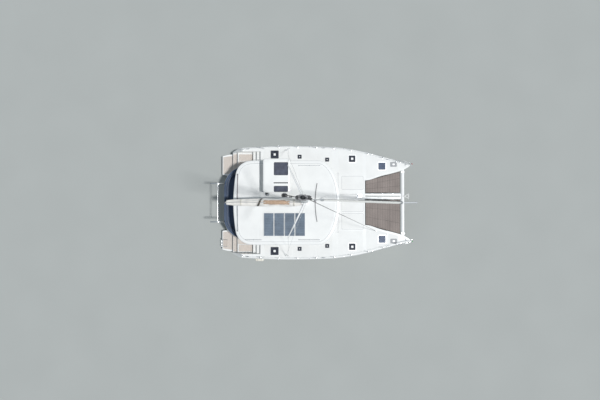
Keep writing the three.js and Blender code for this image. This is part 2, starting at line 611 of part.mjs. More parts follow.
// Mast with its gooseneck plates, masthead crane and aerials
const MAST = { a: 125, b: 72, topA: 95, topB: 60 };
const PIN_X = mastX(BOOM_Z) - MAST.a - 75;
const MAST_TAPER = 15000;
const mastB = z => mix(MAST.b, MAST.topB, Math.max(0, z - MAST_TAPER) / (MAST_TOP - MAST_TAPER));
const HOUNDS = 17600;
const TANG = HOUNDS + 5.8;    // underside of the plate that the forestay hangs from
function mast() {
  const ring = (z, a, b) => Array.from({ length: 14 }, (_, k) => {
    const angle = (k / 14) * 2 * Math.PI;
    return v3(mastX(z) + a * Math.cos(angle), b * Math.sin(angle), z);
  });
  const x = mastX(BOOM_Z) - MAST.a;
  const topX = mastX(MAST_TOP);
  return join([
    loft([ring(ROOF_TOP + GAP, MAST.a, MAST.b), ring(MAST_TAPER, MAST.a, MAST.b), ring(MAST_TOP, MAST.topA, MAST.topB)]),
    slab(mastX(ROOF_TOP) - 190, mastX(ROOF_TOP) + 190, -150, 150, ROOF_TOP + GAP, ROOF_TOP + 30, 60),
    block(PIN_X - 34, x + 30, -40, 40, BOOM_Z - 95, BOOM_Z - 80),
    block(PIN_X - 34, x + 30, -40, 40, BOOM_Z + 80, BOOM_Z + 95),
    rod(v3(PIN_X, 0, BOOM_Z - 90), v3(PIN_X, 0, BOOM_Z + 90), 14, 12),
    block(mastX(HOUNDS) + 60, mastX(HOUNDS) + MAST.a + 32, -20, 20, TANG, TANG + 30),
    block(topX - 330, topX + 190, -45, 45, MAST_TOP - 90, MAST_TOP - 20),
    rod(v3(topX - 60, 25, MAST_TOP - 30), v3(topX - 60, 25, MAST_TOP + 560), 7, 6),
    rod(v3(topX + 60, -20, MAST_TOP - 30), v3(topX + 60, -20, MAST_TOP + 330), 7, 6),
  ]);
}
put('mast', mast(), ALLOY);

// Spreaders on a collar, swept aft
const SPREADER = { z: 10750, tipZ: 10900, half: 1600, sweep: 780 };
const spreaderTip = side => v3(mastX(SPREADER.z) - SPREADER.sweep, side * SPREADER.half, SPREADER.tipZ);
function spreaders() {
  const x = mastX(SPREADER.z);
  const hole = Array.from({ length: 14 }, (_, k) => {
    const angle = (k / 14) * 2 * Math.PI;
    return [(MAST.a + 1) * Math.cos(angle), (MAST.b + 1) * Math.sin(angle)];
  });
  const at = z => hole.map(([a, b]) => v3(mastX(z) + a, b, z));
  const collar = slab(x - 150, x + 150, -100, 100, SPREADER.z - 60, SPREADER.z + 60, 60);
  const arm = side => rod(v3(x - 40, side * 60, SPREADER.z), spreaderTip(side), 48, 8, 24);
  return join([collar, arm(1), arm(-1)]).subtract(loft([at(SPREADER.z - 200), at(SPREADER.z + 200)]));
}
put('spreaders', spreaders(), ALLOY);

// Standing rigging
const CHAIN = v3(-1700, 3560, 0);
CHAIN.z = deckZ(CHAIN.x) + 0.8;
function capShroud() {
  const tip = spreaderTip(1).add(v3(0, 32, 0));
  const top = v3(mastX(HOUNDS), mastB(HOUNDS) + 4.5, HOUNDS);
  return join([
    rod(CHAIN, v3(CHAIN.x, CHAIN.y, CHAIN.z + 120), 22, 8, 12),
    rod(v3(CHAIN.x, CHAIN.y, CHAIN.z + 90), tip, 6, 6),
    rod(tip, top, 6, 6),
    solid(new THREE.SphereGeometry(9, 8, 6).translate(...tip.toArray())),
  ]);
}
bothSides('cap_shroud', capShroud(), STEEL);
const lowFoot = CHAIN.clone().add(v3(-160, 0, 0));
bothSides('lower_shroud', join([
  rod(lowFoot, lowFoot.clone().add(v3(0, 0, 120)), 22, 8, 12),
  rod(lowFoot.clone().add(v3(0, 0, 90)), v3(mastX(SPREADER.z - 150), MAST.b + 4.5, SPREADER.z - 150), 6, 6),
]), STEEL);

// Furled headsail on the forestay and the drum at its foot
const STAY_FOOT = v3(5860, 0, BEAM.z1 + 40);
const stayTop = v3(mastX(HOUNDS) + MAST.a + 8, 0, HOUNDS);
const stayLength = STAY_FOOT.distanceTo(stayTop);
const onStay = distance => STAY_FOOT.clone().lerp(stayTop, distance / stayLength);
const DRUM_TOP = 280;
put('furled_headsail', join([
  rod(onStay(500), onStay(1200), 40, 10, 85),
  rod(onStay(1200), onStay(7600), 85, 10, 68),
  rod(onStay(7600), onStay(15700), 68, 10, 30),
  rod(onStay(DRUM_TOP + GAP), stayTop, 14, 8),
]), SAILCLOTH);
put('furler_drum', join([
  rod(onStay(50), onStay(95), 105, 14),
  rod(onStay(50), onStay(DRUM_TOP), 60, 14),
  rod(onStay(235), onStay(DRUM_TOP), 105, 14),
  block(5835, 5880, -30, 30, BEAM.z0 + 90, BEAM.z1 + 100),
]).subtract(beamSolid(GAP)), STEEL);

// Boom and sail bag
const BOOM = { x0: PIN_X - 60, x1: -5480, half: 62, tall: 110 };
function boom() {
  const spar = alongX(roundRect(-BOOM.half, BOOM.half, BOOM_Z - BOOM.tall, BOOM_Z + BOOM.tall, 50), BOOM.x1, BOOM.x0);
  const eye = block(PIN_X - 80, PIN_X + 36, -30, 30, BOOM_Z - 72, BOOM_Z + 72);
  const bore = rod(v3(PIN_X, 0, BOOM_Z - 200), v3(PIN_X, 0, BOOM_Z + 200), 14.8, 12);
  const room = block(PIN_X - 59, PIN_X + 60, -100, 100, BOOM_Z + 76, BOOM_Z + 130);
  return spar.add(eye).subtract(bore).subtract(room);
}
put('boom', boom(), ALLOY);
const BAG = [
  // x, half width, height above the boom
  [PIN_X - 120, 200, 620], [-1500, 300, 700], [-3000, 250, 600], [-4400, 205, 480], [-5380, 150, 300],
];
const bagBase = BOOM_Z + BOOM.tall + GAP;
put('sail_bag', loft(BAG.map(([x, half, tall]) => [
  [-0.4, 0], [0.4, 0], [1, 0.22], [1, 0.55], [0.72, 0.88], [0.25, 1], [-0.25, 1], [-0.72, 0.88], [-1, 0.55], [-1, 0.22],
].map(([y, z]) => v3(x, y * half, bagBase + z * tall)))), CANVAS);

// Forward beam with its lower stay, longeron and bowsprit
put('crossbeam', join([
  beamSolid(0),
  rod(v3(BEAM.x, 0, BEAM.z0 + 20), v3(BEAM.x, 0, 1430), 28, 8),
  rod(v3(BEAM.x, 1900, BEAM.z0 + 30), v3(BEAM.x, 0, 1440), 10, 6),
  rod(v3(BEAM.x, -1900, BEAM.z0 + 30), v3(BEAM.x, 0, 1440), 10, 6),
]), GELCOAT);
const LONGERON = { y0: 230, y1: 630, z0: 1700, z1: 1900 };
put('longeron', alongX(roundRect(LONGERON.y0, LONGERON.y1, LONGERON.z0, LONGERON.z1, 60), BRIDGE_FORE + GAP, BEAM.x)
  .subtract(beamSolid(GAP)), GELCOAT);
put('bowsprit', join([
  rod(v3(BEAM.x, 0, 1880), v3(6900, 0, 1960), 55, 12, 42),
  rod(v3(6830, 0, 1955), v3(6880, 0, 1958), 60, 12),
]).subtract(beamSolid(GAP)), ALLOY);

// Trampolines: one each side of the longeron, cut to the hulls' inner edges
const NET_Z = { z0: 1878, z1: 1894 };
const hullEdge = x => 1490 + (x - 3421) * (1792 - 1490) / (4520 - 3421);
function net(y0, side) {
  const x0 = BRIDGE_FORE + GAP;
  const x1 = BEAM.x - BEAM.half - 12;
  const edge = x => side * (x <= 4520 ? hullEdge(x) : mix(1792, 2180, (x - 4520) / 1400));
  const plan = [[x0, y0], [x0, edge(x0)], [4520, edge(4520)], [x1, edge(x1)], [x1, y0]];
  const far = side * 2600;
  const outside = polygon([[x0 - 50, far], [x1 + 50, far], [x1 + 50, edge(x1 + 50) - side], [4520, edge(4520) - side],
    [x0 - 50, edge(x0 - 50) - side]]);
  return raise(polygon(plan), NET_Z.z0, NET_Z.z1).subtract(raise(outside, 1800, 2000));
}
put('trampoline_port', net(LONGERON.y1 + GAP, 1), NET);
put('trampoline_starboard', net(LONGERON.y0 - GAP, -1).subtract(beamSolid(GAP)), NET);

// Anchor on a roller ahead of the beam, and the windlass
const ANCHOR_Y = 430;
put('anchor', join([
  block(BEAM.x, BEAM.x + 330, ANCHOR_Y - 55, ANCHOR_Y - 40, BEAM.z1 - 60, BEAM.z1 + 80),
  block(BEAM.x, BEAM.x + 330, ANCHOR_Y + 40, ANCHOR_Y + 55, BEAM.z1 - 60, BEAM.z1 + 80),
  rod(v3(BEAM.x + 290, ANCHOR_Y - 50, BEAM.z1), v3(BEAM.x + 290, ANCHOR_Y + 50, BEAM.z1), 38, 10),
  rod(v3(BEAM.x + 10, ANCHOR_Y, BEAM.z1 + 54), v3(BEAM.x + 430, ANCHOR_Y, BEAM.z1 - 6), 20, 6),
  rod(v3(BEAM.x + 420, ANCHOR_Y, BEAM.z1), v3(BEAM.x + 500, ANCHOR_Y, BEAM.z1 - 340), 22, 6),
  loft([
    [v3(6400, ANCHOR_Y - 175, 1560), v3(6400, ANCHOR_Y + 175, 1560), v3(6460, ANCHOR_Y, 1660)],
    [v3(6180, ANCHOR_Y - 12, 1430), v3(6180, ANCHOR_Y + 12, 1430), v3(6185, ANCHOR_Y, 1450)],
  ]),
]).subtract(beamSolid(GAP)), IRON);
const WINDLASS_X = 3010;
const foreDeck = deckZ(WINDLASS_X);
put('windlass', join([
  slab(WINDLASS_X - 170, WINDLASS_X + 200, ANCHOR_Y - 110, ANCHOR_Y + 150, foreDeck - 20, foreDeck + 60, 50),
  rod(v3(WINDLASS_X, ANCHOR_Y + 20, foreDeck + 50), v3(WINDLASS_X, ANCHOR_Y + 20, foreDeck + 170), 75, 14, 55),
  rod(v3(WINDLASS_X, ANCHOR_Y + 20, foreDeck + 160), v3(WINDLASS_X, ANCHOR_Y + 20, foreDeck + 190), 80, 14),
]).subtract(acrossY(bridgeProfile.map(([x, z]) => [x, z + GAP]), -bridgeHalf, bridgeHalf)), STEEL);

// Guard rails of one side: stanchions, two wires, bow pulpit and stern pushpit
const RAIL = [
  // x, y of each stanchion, from aft
  [-4750, 3560], [-3600, 3690], [-2350, 3730], [-1100, 3725], [150, 3690], [1350, 3650], [2500, 3500],
  [3600, 3265], [4600, 3000], [5500, 2755],
];
const RAIL_TALL = 640;
function guardRail() {
  const foot = ([x, y]) => v3(x, y, deckZ(x) + 2 * GAP);
  const head = ([x, y]) => v3(x, y, deckZ(x) + RAIL_TALL);
  const posts = RAIL.map(p => rod(foot(p), head(p), 13, 6));
  const wires = [];
  for (let i = 0; i + 1 < RAIL.length; i++) {
    for (const share of [0.5, 0.96]) {
      const at = p => v3(p[0], p[1], deckZ(p[0]) + RAIL_TALL * share);
      wires.push(rod(at(RAIL[i]), at(RAIL[i + 1]), 5, 4));
    }
  }
  const z = deckZ(6300);
  const pulpit = bentTube([head(RAIL[RAIL.length - 1]), v3(6050, 2640, z + 640), v3(6330, 2560, z + 600), v3(6390, 2520, z + 330),
    v3(6360, 2520, z + 40), v3(6350, 2520, z - 6)], 13, 26);
  const inboard = rod(v3(6330, 2550, z + 600), v3(6330, 2370, z + 600), 13, 6);
  return join([...posts, ...wires, pulpit, inboard]).subtract(raise(polygon([[5560, 2200], [6500, 2200], [6500, 2800],
    [5560, 2800]]), deckZ(6350) - 60, deckZ(6350) + GAP + 3));
}
bothSides('guard_rail', guardRail(), STEEL);

// Davits: two arms from the after coaming and the bar between them
const davitArm = bentTube([v3(-5905, 1250, 2120), v3(-5950, 1250, 2400), v3(-6250, 1250, 2600), v3(-6750, 1250, 2640)],
  38, 14, 8).add(block(-5945, -5865, 1190, 1310, COAMING.top + GAP, 2150));
put('davits', join([davitArm, mirrored(davitArm), rod(v3(-6300, -1260, 2600), v3(-6300, 1260, 2600), 24, 8)]), STEEL);

// Swim ladder folded forward on the starboard platform, hinged just past the transom
const ladderRail = y => rod(v3(LADDER.x, y, LADDER.z), v3(LADDER.x + LADDER.long, y, LADDER.z), 16, 8);
put('swim_ladder', join([
  ladderRail(LADDER.y0), ladderRail(LADDER.y1),
  rod(v3(LADDER.x, LADDER.y0 - 42, LADDER.z), v3(LADDER.x, LADDER.y1 + 42, LADDER.z), LADDER.pin, 16),
  ...[130, 260, 390].map(d => block(LADDER.x + d - 28, LADDER.x + d + 28, LADDER.y0, LADDER.y1, LADDER.z - 10, LADDER.z + 14)),
]), STEEL);

// Solar array on two rails
const SOLAR = { x0: -3220, x1: -610, y0: -2120, y1: -660, count: 4, gap: 40 };
function solarArray() {
  const width = (SOLAR.x1 - SOLAR.x0 - SOLAR.gap * (SOLAR.count - 1)) / SOLAR.count;
  const pieces = [SOLAR.y0 + 300, SOLAR.y1 - 300]
    .map(y => block(SOLAR.x0 + 10, SOLAR.x1 - 10, y - 20, y + 20, ROOF_TOP + GAP, ROOF_TOP + 35));
  for (let k = 0; k < SOLAR.count; k++) {
    const x = SOLAR.x0 + k * (width + SOLAR.gap);
    pieces.push(block(x, x + width, SOLAR.y0, SOLAR.y1, ROOF_TOP + 30, ROOF_TOP + 65));
  }
  return join(pieces);
}
put('solar_array', solarArray(), PANEL);

// Tracks on the roof
function jibTrack() {
  const bow = 120;
  const reach = 1220;
  const radius = (reach * reach + bow * bow) / (2 * bow);
  const half = Math.asin(reach / radius);
  const shape = new THREE.Shape();
  shape.absarc(35 + radius, 0, radius + 22, Math.PI - half, Math.PI + half);
  shape.absarc(35 + radius, 0, radius - 22, Math.PI + half, Math.PI - half, true);
  return raise(shape, ROOF_TOP + GAP, ROOF_TOP + 40).add(block(-30, 90, 15, 175, ROOF_TOP + 30, ROOF_TOP + 75));
}
put('jib_track', jibTrack(), STEEL);
put('traveller_track', block(-4925, -4875, -1800, 1800, ROOF_TOP + GAP, ROOF_TOP + 40)
  .add(block(-4970, -4830, -70, 70, ROOF_TOP + 30, ROOF_TOP + 85)), STEEL);

export default boat;
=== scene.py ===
import math
import random

import bmesh
import bpy
import numpy as np
from mathutils import Matrix, Vector


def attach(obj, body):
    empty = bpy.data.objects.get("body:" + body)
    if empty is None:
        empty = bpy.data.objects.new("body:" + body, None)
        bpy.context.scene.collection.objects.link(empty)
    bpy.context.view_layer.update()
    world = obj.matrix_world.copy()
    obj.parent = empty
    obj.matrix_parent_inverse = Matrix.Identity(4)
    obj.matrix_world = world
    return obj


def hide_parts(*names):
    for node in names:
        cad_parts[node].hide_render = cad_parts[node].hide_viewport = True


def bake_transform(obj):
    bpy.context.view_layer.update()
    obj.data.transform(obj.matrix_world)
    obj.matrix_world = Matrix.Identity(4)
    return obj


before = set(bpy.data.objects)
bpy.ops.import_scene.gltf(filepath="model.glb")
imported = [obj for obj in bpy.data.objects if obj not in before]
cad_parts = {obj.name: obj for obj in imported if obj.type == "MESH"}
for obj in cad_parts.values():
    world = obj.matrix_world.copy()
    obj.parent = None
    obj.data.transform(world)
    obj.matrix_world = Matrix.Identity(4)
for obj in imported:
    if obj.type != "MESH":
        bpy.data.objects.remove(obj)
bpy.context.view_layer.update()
random.seed(7)

# Sizes and places in metres: X to the bows, Y to port, Z up from the waterline
GAP = 0.0003
SOLE = 1.30
DECK_AFT = 1.80
DECK_AFT_X = -3.60
DECK_RISE = 0.022
TUNNEL = 0.80
BRIDGE_HALF = 1.49
BRIDGE_AFT = -5.98
BRIDGE_FORE = 3.42
HULL_MID = 2.62
KEEL_LINE = -0.64
ROOF_TOP = 3.30
BULKHEAD = -2.06
WALL = 0.06
CABIN_HALF = 2.60
CABIN_NOSE = 0.20
NOSE_LONG = 1.2
MAST_X = -0.52
MAST_TOP = 20.35
MAST_RAKE = math.tan(math.radians(1.2))
BOOM_Z = 4.40
TAU = 2 * math.pi


def deck_z(x):
    return DECK_AFT + max(0.0, x - DECK_AFT_X) * DECK_RISE


def mast_x(z):
    return MAST_X - (z - ROOF_TOP) * MAST_RAKE


def mix(a, b, t):
    return a + (b - a) * t


# Camera: almost straight down on the boat from 28.7 m, as the photograph is taken
CAMERA_AT = (-0.93, -0.154, 28.7)
CAMERA_TILT = 0.01248
SENSOR_WIDTH = 36.0
LENS = 24.0
FAR_LIMIT = 400.0
camera = bpy.data.objects.new("camera", bpy.data.cameras.new("camera"))
bpy.context.scene.collection.objects.link(camera)
camera.data.sensor_width = SENSOR_WIDTH
camera.data.lens = LENS
camera.data.clip_end = FAR_LIMIT
camera.location = CAMERA_AT
camera.rotation_euler = (CAMERA_TILT, 0.0, 0.0)
bpy.context.scene.camera = camera


# Shape builders: each returns (points, faces), and shapes are added up by merged()
def merged(*shapes):
    points, faces = [], []
    for more_points, more_faces in shapes:
        start = len(points)
        points.extend(tuple(p) for p in more_points)
        faces.extend(tuple(i + start for i in f) for f in more_faces)
    return points, faces


def flipped(*shapes):
    """The same shapes on the other side of the centreline."""
    points, faces = merged(*shapes)
    return [(x, -y, z) for x, y, z in points], [tuple(reversed(f)) for f in faces]


def on_both_sides(*makers):
    """Each maker gets the name of a side and what puts its shapes there."""
    for side, own in (("port", merged), ("starboard", flipped)):
        for make in makers:
            make(side, own)


def turned(shape, matrix):
    points, faces = shape
    return [tuple(matrix @ Vector(p)) for p in points], faces


def box(x0, x1, y0, y1, z0, z1):
    points = [(x, y, z) for z in (z0, z1) for x, y in ((x0, y0), (x1, y0), (x1, y1), (x0, y1))]
    faces = [(3, 2, 1, 0), (4, 5, 6, 7), (0, 1, 5, 4), (1, 2, 6, 5), (2, 3, 7, 6), (3, 0, 4, 7)]
    return points, faces


def loft(rings, closed=False):
    """Rings of equal length joined in order, with flat caps unless they close on themselves."""
    count = len(rings[0])
    points = [tuple(p) for ring in rings for p in ring]
    faces = []
    spans = len(rings) if closed else len(rings) - 1
    for s in range(spans):
        t = (s + 1) % len(rings)
        for k in range(count):
            n = (k + 1) % count
            faces.append((s * count + k, s * count + n, t * count + n, t * count + k))
    if not closed:
        faces.append(tuple(reversed(range(count))))
        faces.append(tuple(range((len(rings) - 1) * count, len(rings) * count)))
    return points, faces


def prism(outline, z0, z1):
    """A plan outline raised from z0 to z1."""
    return loft([[(x, y, z0) for x, y in outline], [(x, y, z1) for x, y in outline]])


def prism_y(profile, y0, y1):
    """A side profile in X and Z drawn out from y0 to y1."""
    return loft([[(x, y1, z) for x, z in profile], [(x, y0, z) for x, z in profile]])


def frames_along(path):
    """Two cross directions at each point of a path, carried along without twist."""
    path = [Vector(p) for p in path]
    tangents = []
    for i in range(len(path)):
        step = path[min(i + 1, len(path) - 1)] - path[max(i - 1, 0)]
        tangents.append(step.normalized())
    side = tangents[0].orthogonal().normalized()
    result = []
    for i, t in enumerate(tangents):
        if i:
            side = side - t * side.dot(t)
            side.normalize()
        result.append((path[i], side.copy(), t.cross(side)))
    return result


def tube(path, radius, sides=10, closed=False):
    """A round tube along a path; radius is a number or one number for each point."""
    radii = radius if hasattr(radius, "__len__") else [radius] * len(path)
    rings = []
    for (p, a, b), r in zip(frames_along(path), radii):
        rings.append([p + a * (r * math.cos(TAU * k / sides)) + b * (r * math.sin(TAU * k / sides))
                      for k in range(sides)])
    return loft(rings, closed)


def rod(a, b, radius, sides=10, end_radius=None):
    return tube([a, b], [radius, radius if end_radius is None else end_radius], sides)


def torus(centre, axis, radius, tube_radius, turns=48, sides=8, arc=TAU):
    axis = Vector(axis).normalized()
    a = axis.orthogonal().normalized()
    b = axis.cross(a)
    centre = Vector(centre)
    rings = []
    steps = turns if arc >= TAU else turns + 1
    for i in range(steps):
        angle = arc * i / turns
        out = a * math.cos(angle) + b * math.sin(angle)
        mid = centre + out * radius
        rings.append([mid + out * (tube_radius * math.cos(TAU * k / sides))
                      + axis * (tube_radius * math.sin(TAU * k / sides)) for k in range(sides)])
    return loft(rings, closed=arc >= TAU)


def lathe(profile, centre, axis=(0, 0, 1), sides=32):
    """A profile of (radius, height) pairs turned about an axis through centre."""
    axis = Vector(axis).normalized()
    a = axis.orthogonal().normalized()
    b = axis.cross(a)
    centre = Vector(centre)
    rings = [[centre + axis * h + (a * math.cos(TAU * k / sides) + b * math.sin(TAU * k / sides))
              * max(r, 1e-4) for k in range(sides)] for r, h in profile]
    return loft(rings)


def curve(points, steps=8, closed=False):
    """A smooth path through a few points (Catmull-Rom)."""
    points = [Vector(p) for p in points]
    count = len(points)
    result = []
    spans = count if closed else count - 1
    for i in range(spans):
        if closed:
            p0, p1, p2, p3 = (points[(i + k) % count] for k in (-1, 0, 1, 2))
        else:
            p0, p1, p2, p3 = (points[min(max(i + k, 0), count - 1)] for k in (-1, 0, 1, 2))
        for j in range(steps):
            t = j / steps
            result.append(0.5 * (2 * p1 + (p2 - p0) * t + (2 * p0 - 5 * p1 + 4 * p2 - p3) * t * t
                                 + (3 * p1 - p0 - 3 * p2 + p3) * t ** 3))
    if not closed:
        result.append(points[-1])
    return result


def round_rect(x0, x1, y0, y1, r, steps=5):
    corners = ((x1 - r, y0 + r, -90), (x1 - r, y1 - r, 0), (x0 + r, y1 - r, 90), (x0 + r, y0 + r, 180))
    return [(cx + r * math.cos(math.radians(start + 90 * k / steps)),
             cy + r * math.sin(math.radians(start + 90 * k / steps)))
            for cx, cy, start in corners for k in range(steps + 1)]


def slab(x0, x1, y0, y1, z0, z1, r, edge=0.0, steps=5):
    """A slab with rounded corners in plan and, where edge is given, softened rims."""
    if not edge:
        return prism(round_rect(x0, x1, y0, y1, r, steps), z0, z1)
    rings = []
    for inset, z in ((edge, z0), (edge * 0.3, z0 + edge * 0.3), (0, z0 + edge), (0, z1 - edge),
                     (edge * 0.3, z1 - edge * 0.3), (edge, z1)):
        rings.append([(x, y, z) for x, y in round_rect(x0 + inset, x1 - inset, y0 + inset, y1 - inset,
                                                       max(r - inset, 0.001), steps)])
    return loft(rings)


def grown(x0, x1, y0, y1, by):
    """A rectangle widened on all sides."""
    return x0 - by, x1 + by, y0 - by, y1 + by


def square(x, y, half, z0, z1, r, edge=0.0):
    return slab(x - half, x + half, y - half, y + half, z0, z1, r, edge)


def button(x, y, z, r, top, rise, crown=0.0, sides=16):
    """A low round cap on z: foot and top radius, height, and how far its middle stands above its rim."""
    return lathe([(0.0, z), (r, z), (top, z + rise), (0.0, z + rise + crown)], (x, y, 0), sides=sides)


def sheave(x, y, z, r, waist, half, sides=20, axis=(0, 1, 0)):
    """A grooved wheel, with its axle across the boat."""
    return lathe([(0.0, -half), (r, -half), (waist, 0.0), (r, half), (0.0, half)], (x, y, z), axis, sides)


def grid_faces(rows, columns, reverse=False):
    """Four-sided faces between rows of columns points each."""
    faces = [(i * columns + k, (i + 1) * columns + k, (i + 1) * columns + k + 1, i * columns + k + 1)
             for i in range(rows - 1) for k in range(columns - 1)]
    return [tuple(reversed(face)) for face in faces] if reverse else faces


def to_mesh(shape, name):
    mesh = bpy.data.meshes.new(name)
    points, faces = shape
    mesh.from_pydata([tuple(p) for p in points], [], faces)
    mesh.update()
    return mesh


def tidy(mesh, angle=35):
    """Faces out, shaded smooth apart from edges sharper than angle."""
    work = bmesh.new()
    work.from_mesh(mesh)
    bmesh.ops.remove_doubles(work, verts=work.verts, dist=1e-6)
    bmesh.ops.recalc_face_normals(work, faces=work.faces)
    work.to_mesh(mesh)
    work.free()
    mesh.shade_smooth()
    mesh.set_sharp_from_angle(angle=math.radians(angle))
    mesh.polygons.foreach_set("use_smooth", [len(p.vertices) < 5 for p in mesh.polygons])


def placed(name, shape):
    made = bpy.data.objects.new(name, to_mesh(shape, name))
    bpy.context.scene.collection.objects.link(made)
    return made


def piece(name, shape, material, body="root", stands_for=(), angle=35, clean=True):
    """A finished piece: mesh, material, the body it rides on and the solids it stands for."""
    made = placed(name, merged(*shape) if isinstance(shape, list) else shape)
    if clean:
        tidy(made.data, angle)
    made.data.materials.append(material)
    if body:
        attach(made, body)
    if stands_for:
        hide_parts(*stands_for)
    return made


def softened(made, width, segments=2, angle=40):
    change = made.modifiers.new("soft edges", "BEVEL")
    change.width = width
    change.segments = segments
    change.limit_method = "ANGLE"
    change.angle_limit = math.radians(angle)
    change.harden_normals = True


def thickened(made, name, thickness=0.003):
    """A single smooth surface is given the thickness of cloth."""
    made.data.shade_smooth()
    change = made.modifiers.new(name, "SOLIDIFY")
    change.thickness = thickness
    change.offset = 0


def carved(shape, cutters, joins=()):
    """A shape after booleans: cutters are taken away, joins are added first."""
    made = placed("carved", shape)
    tools = [(joined, "UNION") for joined in joins] + [(cutter, "DIFFERENCE") for cutter in cutters]
    helpers = []
    tidy(made.data)
    for tool_shape, operation in tools:
        tool = placed("tool", tool_shape)
        tidy(tool.data)
        change = made.modifiers.new("cut", "BOOLEAN")
        change.operation = operation
        change.solver = "EXACT"
        change.object = tool
        helpers.append(tool)
    evaluated = made.evaluated_get(bpy.context.evaluated_depsgraph_get())
    mesh = evaluated.to_mesh()
    result = [tuple(v.co) for v in mesh.vertices], [tuple(p.vertices) for p in mesh.polygons]
    evaluated.to_mesh_clear()
    for helper in helpers + [made]:
        old = helper.data
        bpy.data.objects.remove(helper)
        bpy.data.meshes.remove(old)
    return result


# Materials: each is a small node tree on object coordinates
def shade(colour, factor):
    return tuple(min(1.0, c * factor) for c in colour)


class Surface:
    """A material in the making: its shader, and the nodes that feed it."""

    def __init__(self, name, roughness=0.5, metallic=0.0, coat=0.0):
        self.material = bpy.data.materials.new(name)
        self.material.use_nodes = True
        self.nodes = self.material.node_tree.nodes
        self.shader = self.nodes["Principled BSDF"]
        for socket, value in (("Roughness", roughness), ("Metallic", metallic), ("Coat Weight", coat)):
            self.feed(socket, value)
        self.where = self.node("TexCoord").outputs["Object"]

    def feed(self, socket, value):
        """A socket of the shader, or any socket, gets a number, a colour or another node's output."""
        socket = self.shader.inputs[socket] if isinstance(socket, str) else socket
        if isinstance(value, bpy.types.NodeSocket):
            self.material.node_tree.links.new(value, socket)
        else:
            socket.default_value = value

    def node(self, kind, inputs=(), **settings):
        made = self.nodes.new("ShaderNode" + kind)
        for name, value in settings.items():
            setattr(made, name, value)
        for socket, value in dict(inputs).items():
            self.feed(made.inputs[socket], value)
        return made

    def noise(self, scale, detail=4.0, stretch=None):
        where = self.where
        if stretch:
            where = self.node("Mapping", {"Scale": stretch, "Vector": where}).outputs["Vector"]
        return self.node("TexNoise", {"Scale": scale, "Detail": detail, "Vector": where}).outputs["Fac"]

    def math(self, operation, *values):
        return self.node("Math", dict(enumerate(values)), operation=operation).outputs[0]

    def tones(self, value, colour, dark, light, low=0.3, high=0.7):
        """A colour that runs from a darker to a lighter tone of itself over value."""
        made = self.node("ValToRGB", {"Fac": value})
        for element, place, factor in zip(made.color_ramp.elements, (low, high), (dark, light)):
            element.position = place
            element.color = (*shade(colour, factor), 1.0)
        return made.outputs["Color"]

    def mixed(self, factor, a, b):
        return self.node("Mix", {"Factor": factor, 6: a, 7: (*b, 1)}, data_type="RGBA").outputs[2]

    def bump(self, height, strength, distance=0.002):
        made = self.node("Bump", {"Strength": strength, "Distance": distance, "Height": height})
        self.feed("Normal", made.outputs["Normal"])

    def along(self, axis):
        return self.node("SeparateXYZ", {0: self.where}).outputs[axis]

    def stripes(self, axis, pitch, share):
        """1 on the narrow line of each pitch, 0 elsewhere."""
        part = self.math("FRACT", self.math("DIVIDE", self.along(axis), pitch))
        return self.math("LESS_THAN", part, share)

    def ripple(self, axis, pitch):
        return self.math("SINE", self.math("MULTIPLY", self.along(axis), TAU / pitch))


def mottled(name, colour, roughness, metallic=0.0, spread=0.06, scale=3.0, grain=0.0, grain_scale=300.0,
            coat=0.0):
    """A surface whose colour drifts a little and whose gloss is uneven, with a fine grain where asked."""
    made = Surface(name, roughness, metallic, coat)
    made.feed("Base Color", made.tones(made.noise(scale), colour, 1 - spread, 1 + spread))
    gloss = made.node("MapRange", {"To Min": max(0.02, roughness - 0.06),
                                   "To Max": min(1.0, roughness + 0.1), "Value": made.noise(scale * 4)})
    made.feed("Roughness", gloss.outputs[0])
    if grain:
        made.bump(made.noise(grain_scale, 2.0), grain, 0.001)
    return made.material


def make_nonskid(name, colour=(0.80, 0.80, 0.78)):
    """Moulded diamond pattern of the walkways."""
    made = Surface(name, 0.6)
    made.feed("Base Color", made.tones(made.noise(1.2), colour, 0.96, 1.03))
    cells = made.node("TexVoronoi", {"Scale": 110.0, "Vector": made.where}, feature="DISTANCE_TO_EDGE")
    made.bump(cells.outputs["Distance"], 0.5)
    return made.material


def make_teak(name, colour=(0.65, 0.58, 0.52), pitch=0.055):
    """Pale weathered planks along X with dark caulking between them."""
    made = Surface(name, 0.65)
    line = made.stripes(1, pitch, 0.1)
    grain = made.noise(9.0, 6.0, (1.0, 14.0, 14.0))
    planks = made.tones(grain, colour, 0.84, 1.12, 0.25, 0.75)
    made.feed("Base Color", made.mixed(line, planks, (0.16, 0.14, 0.12)))
    made.bump(made.math("SUBTRACT", made.math("MULTIPLY", grain, 0.3), line), 0.35)
    return made.material


def make_weave(name, colour, pitch=0.006, spread=0.10, strength=0.5, scale=2.5):
    """Cloth: two crossed sets of threads, with the sun's uneven fading over it."""
    made = Surface(name, 0.85)
    made.feed("Sheen Weight", 0.25)
    made.feed("Base Color", made.tones(made.noise(scale, 5.0), colour, 1 - spread, 1 + spread, 0.25, 0.75))
    made.bump(made.math("MULTIPLY", made.ripple(0, pitch), made.ripple(1, pitch)), strength, pitch * 0.25)
    return made.material


def make_netting(name, colour=(0.33, 0.28, 0.255), pitch=0.03):
    """Knotless netting: crossed cords with painted shade in the holes between them, darker bands at a 0.17
    m pitch and pale worn runs.
    """
    made = Surface(name, 0.8)
    cords = made.math("MINIMUM", *(made.math("ABSOLUTE", made.ripple(axis, pitch)) for axis in (0, 1)))
    base = made.tones(made.noise(1.4, 6.0), colour, 0.88, 1.16)
    # painted shade: the holes between the cords are darkened for the shaded space under the net, and the
    # 0.17 m bands darken too
    hole_shade_and_bands = made.math("MAXIMUM", made.math("MULTIPLY", cords, 0.75),
                     made.math("MULTIPLY", made.stripes(0, 0.17, 0.22), 0.55))
    made.feed("Base Color", made.mixed(hole_shade_and_bands, base, shade(colour, 0.45)))
    made.bump(made.math("SUBTRACT", 1.0, cords), 0.7, 0.004)
    return made.material


